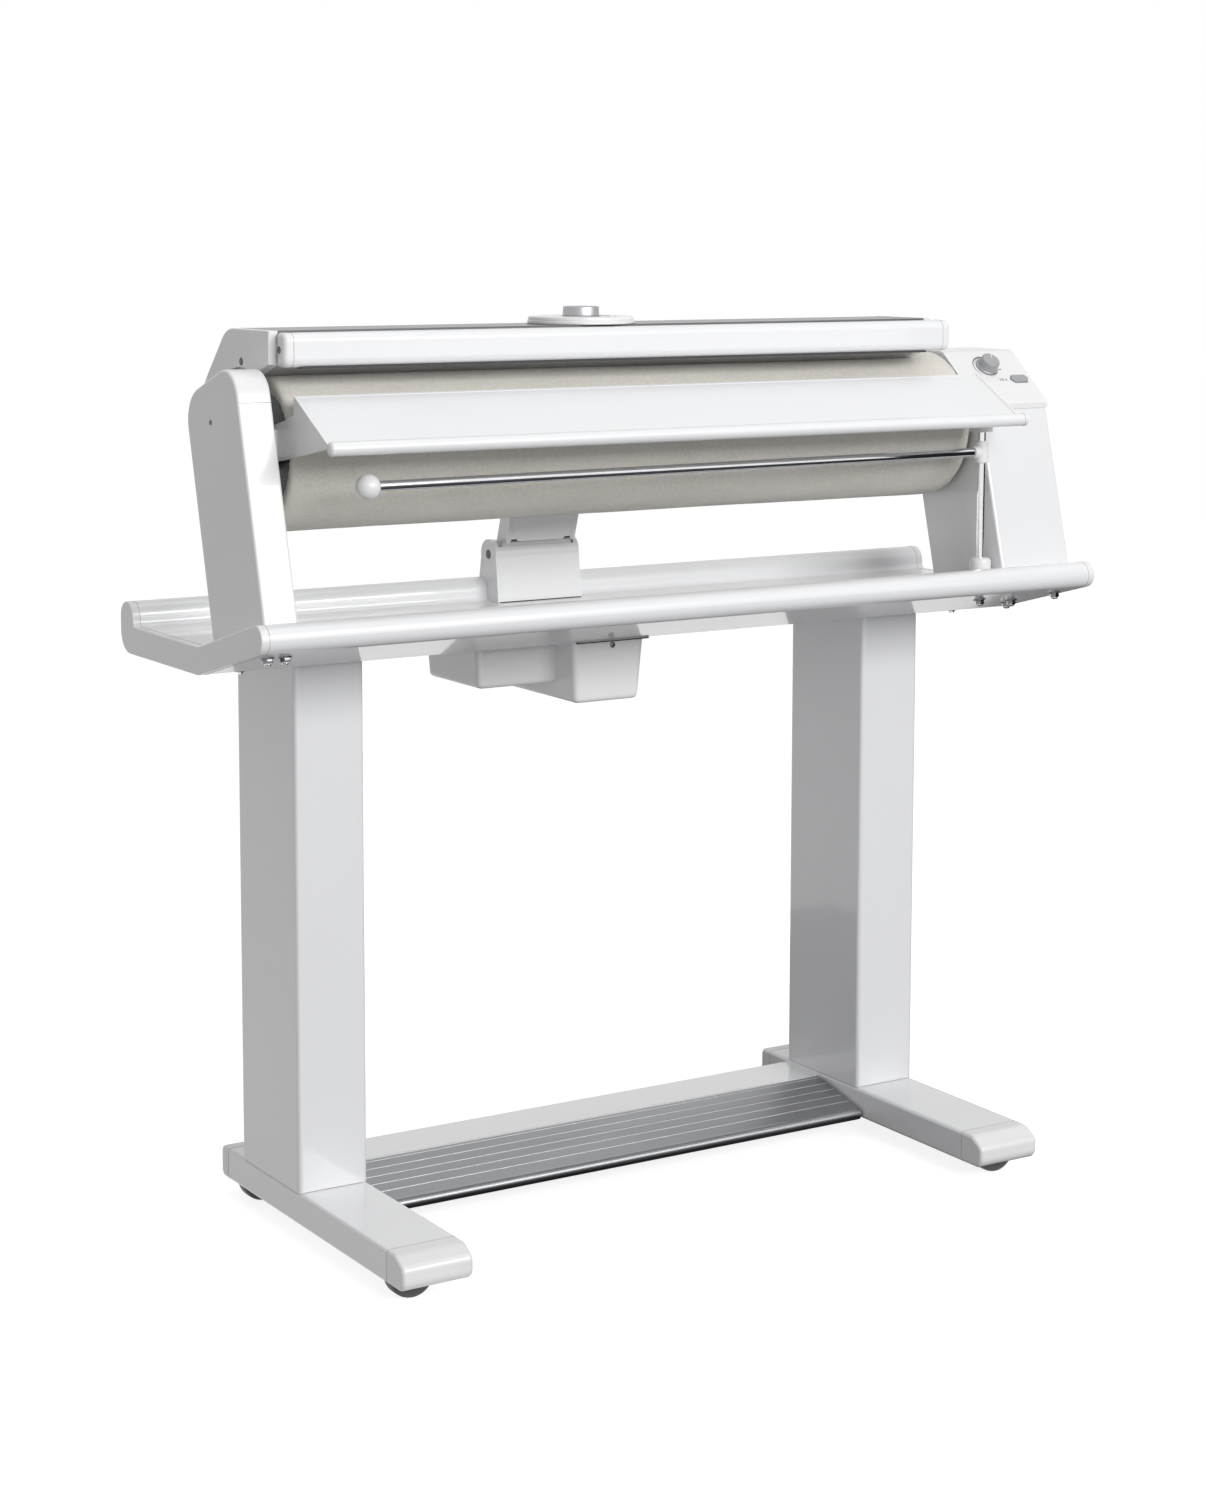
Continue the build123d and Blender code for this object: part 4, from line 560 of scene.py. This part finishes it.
def loops_at(node, axis, value):
    """Outlines of a CAD node's flat faces that lie at value along axis, from front to back."""
    bm = bmesh.new()
    bm.from_mesh(frame["nodes"][node].data)
    bmesh.ops.remove_doubles(bm, verts=bm.verts, dist=1e-6)
    kept = []
    for edge in bm.edges:
        if any(abs(v.co[axis] - value) > 2e-5 for v in edge.verts):
            continue
        flat = [abs(f.normal[axis]) > 0.99 for f in edge.link_faces]
        if len(flat) == 2 and flat.count(True) == 1:
            kept.append(edge)
    loops = []
    while kept:
        edge = kept.pop(0)
        chain = [edge.verts[0], edge.verts[1]]
        grown = True
        while grown:
            grown = False
            for other in list(kept):
                if chain[-1] in other.verts:
                    chain.append(other.other_vert(chain[-1]))
                    kept.remove(other)
                    grown = True
        loops.append([v.co.copy() for v in chain])
    bm.free()
    return sorted(loops, key=place_in_line)


def seam(node, axis, value, body, least=0.03):
    """Fine dark joint line round a CAD node's flat end, where the next piece butts against it."""
    side = "l" if value < 0 else "r"
    for number, loop in enumerate(loops_at(node, axis, value)):
        if perimeter(loop) < least or len(loop) < 4:
            continue
        closed = (loop[0] - loop[-1]).length < 1e-5
        path = loop[:-1] if closed else loop
        sweep("seam_%s_%s%d" % (node, side, number), path, 0.00022, body, "grey_plastic", SEAM,
              closed, 6)


def plain(name, colour, rough):
    """One tone with a faint mottle, for print, joint lines and the painted shade in gaps and slots."""
    s = Shader(name)
    tone = s.spread(s.noise(90.0, 2.0), 0.0, 1.0)
    s.set(Base_Color=s.blend(tone, colour, tuple(c * 0.85 for c in colour)), Roughness=rough)
    return s.material


SEAM = plain("joint_line", (0.30, 0.30, 0.31), 0.7)
# Near-black plates and lines laid into gaps, slots and screw recesses: painted shade where these
# hollows fall dark.
GAP_SHADE = plain("painted_gap_shade", (0.03, 0.03, 0.035), 0.6)
PRINT = plain("printed_grey", (0.10, 0.10, 0.11), 0.55)

for x in (-0.4915, 0.4915):
    seam("tray_end_caps", 0, x, "frame")
for x in GUARD_SEAMS:
    seam("guard_caps", 0, x, "finger_guard")
for y in (-0.1717, 0.187):
    seam("foot_tube_left", 1, y, "frame", least=0.12)
    seam("foot_tube_right", 1, y, "frame", least=0.12)
for x in (-0.434, 0.335):
    seam("heater_cover", 0, x, "heater", least=0.3)
seam("feed_board", 0, 0.388, "frame", least=0.1)


# ---------------------------------------------------------------- moulded ends
def rounded_end(name, node, seam_x, end_x, radius, body):
    """End cap whose outline is that of the node at seam_x and whose far edge is rounded."""
    loop = max(loops_at(node, 0, seam_x), key=perimeter)
    ys, zs = [p.y for p in loop], [p.z for p in loop]
    middle = Vector((0, (min(ys) + max(ys)) / 2, (min(zs) + max(zs)) / 2))
    half_y, half_z = (max(ys) - min(ys)) / 2, (max(zs) - min(zs)) / 2
    out = 1 if end_x > seam_x else -1
    steps = 8
    rings = [(seam_x, 0.0)]
    for k in range(steps + 1):
        turn = math.pi / 2 * k / steps
        rings.append((end_x - out * radius * (1 - math.sin(turn)), radius * (1 - math.cos(turn))))
    rows = []
    for x, inset in rings:
        wide, high = 1 - inset / half_y, 1 - inset / half_z
        rows.append([(x, middle.y + (p.y - middle.y) * wide, middle.z + (p.z - middle.z) * high)
                     for p in loop[:-1]])
    rows.append([(end_x, middle.y, middle.z)] * (len(loop) - 1))
    mesh = grid_mesh(name, rows, close_v=True)
    tidy(mesh, 50)
    return finish_mesh(name, mesh, body, "white_plastic")


guard_ends = [rounded_end("guard_end_" + side, "guard_caps", seam_x, end_x, 0.0045, "finger_guard")
              for side, seam_x, end_x in zip("lr", GUARD_SEAMS, GUARD_ENDS)]
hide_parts("guard_caps")
# Dark strip along the underside of the guard bar: painted shade of the narrow gap between the guard and
# the cloth.
block("guard_gap_painted_shade", (-0.4180, -0.0712, 0.8868), (0.3260, -0.0600, 0.8884), "finger_guard",
      "black_plastic", 0.0002, GAP_SHADE)
lathe("board_lip_end", [(0.0, 0.0036), (0.0025, 0.0034), (0.0047, 0.0027), (0.0061, 0.0016),
                        (0.0068, 0.0003), (0.0069, -0.0012)],
      frame_at((-0.4300, -0.1572, 0.8170), (-1, 0, 0), (0, 1, 0)), "frame", "white_plastic", 48)


def corner_fill(name, x, way):
    """Front wall of the arm behind a cut corner of its cover, with a dark plate at its foot as painted
    shade in the slot.
    """
    thick = 0.0006
    place = frame_at((x, 0.1314, 0.6858), (0, -1, -0.315))
    plate(name, [(0, 0), (way * 0.0112, 0), (0, 0.0150)], place, thick, "heater", "white_plastic", 0)
    # The near-black plate at the foot is painted shade inside the slot.
    plate(name + "_slot", rectangle(way * 0.0012, way * 0.0080, 0.0002, 0.0018),
          place @ Matrix.Translation((0, 0, thick)), 0.0002, "heater", "black_plastic", 0, GAP_SHADE)


corner_fill("arm_corner_l", -0.0750, 1)
corner_fill("arm_corner_r", 0.0005, -1)


# ---------------------------------------------------------------- knobs
def fluted(name, place, body, slot, outline, flutes, depth, material):
    """Turned knob whose sides carry shallow grip flutes: (radius, height, share of the flutes)."""
    segments = 240
    rows = []
    for radius, height, grip in outline:
        row = []
        for j in range(segments):
            t = 2 * math.pi * j / segments
            cut = depth * grip * (0.5 - 0.5 * math.cos(flutes * t)) ** 0.6
            row.append(place @ Vector(((radius - cut) * math.cos(t), (radius - cut) * math.sin(t),
                                       height)))
        rows.append(row)
    mesh = grid_mesh(name, rows, close_v=True)
    tidy(mesh, 30)
    return finish_mesh(name, mesh, body, slot, material=material)


def printed(name, outline, place, body="frame"):
    """Mark printed on a flat face."""
    plate(name, outline, place, 0.00012, body, "black_plastic", 0, PRINT)


def wedge(name, radius, degrees, first_width, last_width, place, body="frame"):
    """Printed arc whose width changes evenly along it."""
    inner = []
    for k, a in enumerate(degrees):
        width = first_width + (last_width - first_width) * k / len(degrees)
        inner.append(polar(radius - width, a))
    printed(name, [polar(radius, a) for a in degrees] + inner[::-1], place, body)


def above_dial(z):
    return Matrix.Translation((*TEMPERATURE_AXIS, z))


KNOB_METAL = metal("knob_metal", (0.42, 0.42, 0.44), rough=0.42, stretch=(1, 1, 0.03), scale=700.0,
                   depth=0.000004, edge=0.0002)
dial = lathe("temperature_dial_disc", [(0.0, 0.0), (0.0543, 0.0), (0.0550, 0.0006), (0.0550, 0.0030),
                                       (0.0546, 0.0034), (0.0538, 0.0035), (0.0537, 0.0038),
                                       (0.0541, 0.0040), (0.0541, 0.0058), (0.0537, 0.0067),
                                       (0.0526, 0.0072), (0.0, 0.0073)], above_dial(0.9226),
             "heater", "white_plastic", 144)
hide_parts("temperature_dial")
knob_place = above_dial(0.9300)
knob = fluted("temperature_knob_cap", knob_place, "temperature_knob_turn", "aluminium",
              [(0.0, 0.0, 0), (0.0192, 0.0, 0), (0.0196, 0.0002, 0), (0.0196, 0.0007, 0),
               (0.0188, 0.0010, 0), (0.0186, 0.0014, 1), (0.0184, 0.0086, 1), (0.0181, 0.0093, 0.5),
               (0.0174, 0.0097, 0), (0.0164, 0.0098, 0), (0.0158, 0.0095, 0), (0.0, 0.0094, 0)],
              90, 0.00008, KNOB_METAL)
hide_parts("temperature_knob")
plate("temperature_pointer", rectangle(-0.0005, 0.0005, -0.0150, -0.0070),
      knob_place @ Matrix.Translation((0, 0, 0.00945)), 0.0002, "temperature_knob_turn",
      "black_plastic", 0, PRINT)
dial_top = above_dial(0.92988)
for number in range(1, 4):
    for dot in range(number):
        angle = -150 + 60 * number + (dot - (number - 1) / 2) * 6.5
        spot = dial_top @ Matrix.Translation((*polar(0.0345, angle), 0))
        printed("dial_dot_%d_%d" % (number, dot), ngon(0.0013, 20), spot, "heater")
wedge("dial_wedge", 0.0300, range(-115, 76, 5), 0.0002, 0.0018, dial_top, "heater")

PANEL_ANGLE = math.radians(40.468)
PANEL_NORMAL = Vector((0, -math.sin(PANEL_ANGLE), math.cos(PANEL_ANGLE)))
PANEL_BACK = (-0.012, 0.884)              # y, z of the slope's upper edge
ON_SKIN = 0.00002                         # how far a printed mark lies off the panel


def on_panel(x, down, lift=0.0):
    """Placement on the sloping control panel: local X to the right, local Y up the slope."""
    origin = Vector((x, PANEL_BACK[0] - down * math.cos(PANEL_ANGLE),
                     PANEL_BACK[1] - down * math.sin(PANEL_ANGLE)))
    return frame_at(origin + PANEL_NORMAL * lift, PANEL_NORMAL)


def turned(place, degrees, rise=0.0):
    return place @ Matrix.Rotation(math.radians(degrees), 4, "Z") @ Matrix.Translation((0, 0, rise))


SPEED_GREY = moulded("speed_knob_grey", (0.33, 0.335, 0.345), rough=0.34, grain=0.00002)
speed_place = on_panel(SPEED_X, SPEED_DOWN, 0.0004)
speed = fluted("speed_knob_cap", speed_place, "speed_knob_turn", "grey_plastic",
               [(0.0, 0.0, 0), (0.0124, 0.0, 0), (0.0128, 0.0004, 0), (0.0128, 0.0016, 0),
                (0.0122, 0.0021, 0), (0.0112, 0.0024, 0), (0.0111, 0.0030, 1), (0.0108, 0.0100, 1),
                (0.0104, 0.0114, 0.5), (0.0096, 0.0120, 0), (0.0070, 0.0119, 0), (0.0, 0.0117, 0)],
               24, 0.0002, SPEED_GREY)
lathe("speed_knob_skirt", [(0.0124, 0.00005), (0.0131, 0.0002), (0.0132, 0.0008), (0.0129, 0.0018),
                           (0.0124, 0.0022), (0.0119, 0.0022)], speed_place, "speed_knob_turn",
      "aluminium", 96, KNOB_METAL)
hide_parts("speed_knob")
plate("speed_pointer", rectangle(-0.0005, 0.0005, 0.003, 0.0098), turned(speed_place, -30, 0.0119),
      0.0002, "speed_knob_turn", "white_plastic", 0)
speed_print = on_panel(SPEED_X, SPEED_DOWN, ON_SKIN)
wedge("speed_wedge", 0.0172, range(75, 221, 4), 0.0018, 0.0002, speed_print)
printed("speed_tick", rectangle(0.0150, 0.0190, -0.0006, 0.0006), turned(speed_print, -12))
switch = plate("power_rocker_cap", [(-0.0120, 0.0), (-0.0088, -0.0052), (0.0088, -0.0052),
                                    (0.0118, -0.0010), (0.0118, 0.0010), (0.0088, 0.0052),
                                    (-0.0088, 0.0052)], on_panel(0.4745, 0.0478, -0.0010), 0.0030,
               "power_rocker", "grey_plastic", 0.0006, SPEED_GREY)
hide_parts("power_switch")
icon = on_panel(0.4525, 0.048, ON_SKIN)
printed("switch_mark_i", rectangle(-0.0050, -0.0043, -0.0018, 0.0018), icon)
ring = []
for j in range(24):
    t = 2 * math.pi * j / 24
    ring.append(icon @ Vector((-0.0015 + 0.0014 * math.cos(t), 0.0018 * math.sin(t), 0.0001)))
sweep("switch_mark_o", ring, 0.00022, "frame", "black_plastic", PRINT, True, 6)
printed("switch_mark_arrow", [(0.0020, 0.0), (0.0044, -0.0018), (0.0044, 0.0018)], icon)


# ---------------------------------------------------------------- wheels
def wheel(body, x, y, node):
    """Rubber tyre with a stepped black hub in each side."""
    place = frame_at((x, y, 0.0247), (0, 1, 0), (1, 0, 0))
    half = [(0.0150, -0.0092), (0.0170, -0.0098), (0.0200, -0.0100), (0.0222, -0.0096),
            (0.0238, -0.0082), (0.0246, -0.0058), (0.0247, -0.0020)]
    tyre = lathe(body + "_tyre", half + [(r, -side) for r, side in reversed(half)], place, body,
                 "wheel_rubber")
    for end, way in (("_hub_in", -1), ("_hub_out", 1)):
        lathe(body + end,
              [(0.0026, way * 0.0096), (0.0052, way * 0.0096), (0.0058, way * 0.0090),
               (0.0060, way * 0.0074), (0.0100, way * 0.0068), (0.0136, way * 0.0072),
               (0.0144, way * 0.0088), (0.0152, way * 0.0094), (0.0156, way * 0.0088)],
              place, body, "black_plastic")
    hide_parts(node)


for end, y in (("front", -0.1635), ("rear", 0.1665)):
    for side, x in (("left", -0.3585), ("right", 0.3585)):
        wheel("wheel_%s%s" % (end[0], side[0]), x, y, "wheel_%s_%s" % (end, side))


# ---------------------------------------------------------------- fasteners
def under_tray(x, y):
    """Placement on the tray's underside, local Z out of it."""
    ahead = max(0.0, TRAY_FOLD_Y - y)
    tilt = TRAY_SLOPE if ahead else 0.0
    return frame_at((x, y, TRAY_UNDER_Z + math.tan(TRAY_SLOPE) * ahead),
                    (0, -math.sin(tilt), -math.cos(tilt)))


PLATED = metal("nut_plating", (0.21, 0.215, 0.22), rough=0.20, scale=500.0, depth=0.000002,
               spread=0.05)
BOLTS = ((-0.474, -0.108), (-0.456, -0.108), (0.462, -0.048), (0.452, -0.068), (0.480, -0.108),
         (-0.441, 0.025), (0.443, 0.025), (0.381, -0.100))
for number, (x, y) in enumerate(BOLTS):
    place = under_tray(x, y)
    lathe("washer_%d" % number, [(0.0032, 0.0), (0.0064, 0.0), (0.0066, 0.0003), (0.0064, 0.0011),
                                 (0.0032, 0.0012)], place, "frame", "chrome", 40, PLATED)
    plate("nut_%d" % number, ngon(0.0052, 6), place @ Matrix.Translation((0, 0, 0.0011)), 0.0040,
          "frame", "chrome", 0.0006, PLATED)
    lathe("thread_%d" % number, [(0.0, 0.0072), (0.0024, 0.0072), (0.0029, 0.0067), (0.0029, 0.0045)],
          place, "frame", "steel", 32, PLATED)

SCREW = metal("dark_screw", (0.20, 0.20, 0.21), rough=0.4)


def cross_screw(name, place, radius):
    """Domed screw head with its cross recess drawn as two dark plates: painted shade in the recess."""
    lathe(name + "_head", [(0.0, 0.0009), (radius * 0.45, 0.0008), (radius * 0.8, 0.0005),
                           (radius * 0.97, 0.0001), (radius, -0.0006)], place, "frame", "steel", 40,
          SCREW)
    # The two near-black plates stand in for the cross recess: painted shade.
    arm = rectangle(-radius * 0.55, radius * 0.55, -radius * 0.12, radius * 0.12)
    for number, turn in enumerate((0.3, 0.3 + math.pi / 2)):
        at = place @ Matrix.Translation((0, 0, 0.00072)) @ Matrix.Rotation(turn, 4, "Z")
        plate(name + "_slot%d" % number, arm, at, 0.00022, "frame", "steel", 0, GAP_SHADE)


cross_screw("pillar_screw_left", frame_at((-0.4827, -0.0065, 0.8346), (-1, 0, 0), (0, 1, 0)), 0.0028)


# ---------------------------------------------------------------- caps over screws and pins
CAP = moulded("cap_grey", (0.085, 0.085, 0.09), rough=0.45)


def screw_cap(name, x, y, z, radius, body):
    """Shallow domed cap in a flat side that faces away from the middle."""
    out = -1 if x < 0 else 1
    place = frame_at((x, y, z), (out, 0, 0), (0, 1, 0))
    lathe(name, [(0.0, 0.0004), (radius * 0.7, 0.0004), (radius * 0.94, 0.0003), (radius, 0.0001),
                 (radius, -0.0004)], place, body, "black_plastic", 40, CAP)


for name, ends, y, z, radius, body in (
        ("guard_cap_plug_", GUARD_ENDS, -0.0628, 0.9046, 0.0036, "finger_guard"),
        ("heater_cap_plug_", (-0.444, 0.345), 0.007, 0.8912, 0.004, "heater"),
        ("bracket_plug_", (-0.092, 0.012), *HINGE_PIN, 0.0052, "frame")):
    for side, x in zip("lr", ends):
        screw_cap(name + side, x, y, z, radius, body)


# ---------------------------------------------------------------- lines that follow a surface
def surface(node):
    mesh = frame["nodes"][node].data
    return BVHTree.FromPolygons([v.co for v in mesh.vertices], [p.vertices[:] for p in mesh.polygons])


def line_on(name, node, starts, way, body, half, material, slot="grey_plastic", lift=0.0):
    """Fine line laid on a CAD surface, found by looking along way from each start."""
    tree = surface(node)
    way = Vector(way)
    hits = [tree.ray_cast(Vector(p), way)[0] for p in starts]
    path = [h - way * lift for h in hits if h is not None]
    sweep(name, path, half, body, slot, material, False, 6)


def run(first, last, count=24):
    """Evenly spaced points from first to last."""
    first, last = Vector(first), Vector(last)
    return [first.lerp(last, k / (count - 1)) for k in range(count)]


DOWN, BACKWARDS = (0, 0, -1), (0, 1, 0)
# Bright metal strips laid along the pedal's ribs: painted highlights where the rib crests catch the
# light.
RIB_HIGHLIGHT = metal("pedal_rib_painted_highlight", (0.90, 0.90, 0.92), rough=0.30, stretch=(0.01, 1, 1), scale=900.0)
ANODISED = metal("anodised", (0.34, 0.345, 0.355), rough=0.40, stretch=(0.012, 1, 1), scale=900.0,
                 depth=0.00002, anisotropic=0.5)
frame["nodes"]["foot_pedal"].data.materials[0] = ANODISED

line_on("pillar_seam", "pillar_left", run((-0.4810, -0.3, 0.856), (-0.4485, -0.3, 0.856)), BACKWARDS,
        "frame", 0.00025, SEAM)
# Dark line where the bracket meets the tray's rear rim: painted shade in the gap at its foot.
line_on("bracket_foot_painted_shade", "tray_shell", run((-0.0905, 0.1256, 0.70), (0.0110, 0.1256, 0.70)),
        DOWN, "frame", 0.0009, GAP_SHADE)
# Five bright strips on the pedal ribs: painted highlight lines.
for number in range(5):
    y = 0.0263 + 0.0143 * number
    line_on("pedal_line_%d" % number, "foot_pedal", run((-0.3066, y, 0.2), (0.3066, y, 0.2), 8),
            DOWN, "pedal", 0.0007, RIB_HIGHLIGHT, "aluminium", 0.0003)
for side, low_x, high_x in (("left", -COLUMN_OUTER_X, -COLUMN_INNER_X),
                            ("right", COLUMN_INNER_X, COLUMN_OUTER_X)):
    line_on("column_foot_line_" + side[0], "column_" + side,
            run((low_x + 0.003, -0.2, 0.0535), (high_x - 0.003, -0.2, 0.0535)), BACKWARDS, "frame",
            0.0003, SEAM)
# Near-black strip in the joint between the drive box and the tray: painted shade in the gap.
block("drive_box_gap_painted_shade", (-0.0740, -0.0062, 0.5909), (0.0135, -0.0040, 0.5922), "frame",
      "black_plastic", 0.0003, GAP_SHADE)
cross_screw("drive_box_screw", frame_at((-0.0290, -0.0035, 0.5868), (0, -1, 0.05)), 0.0030)
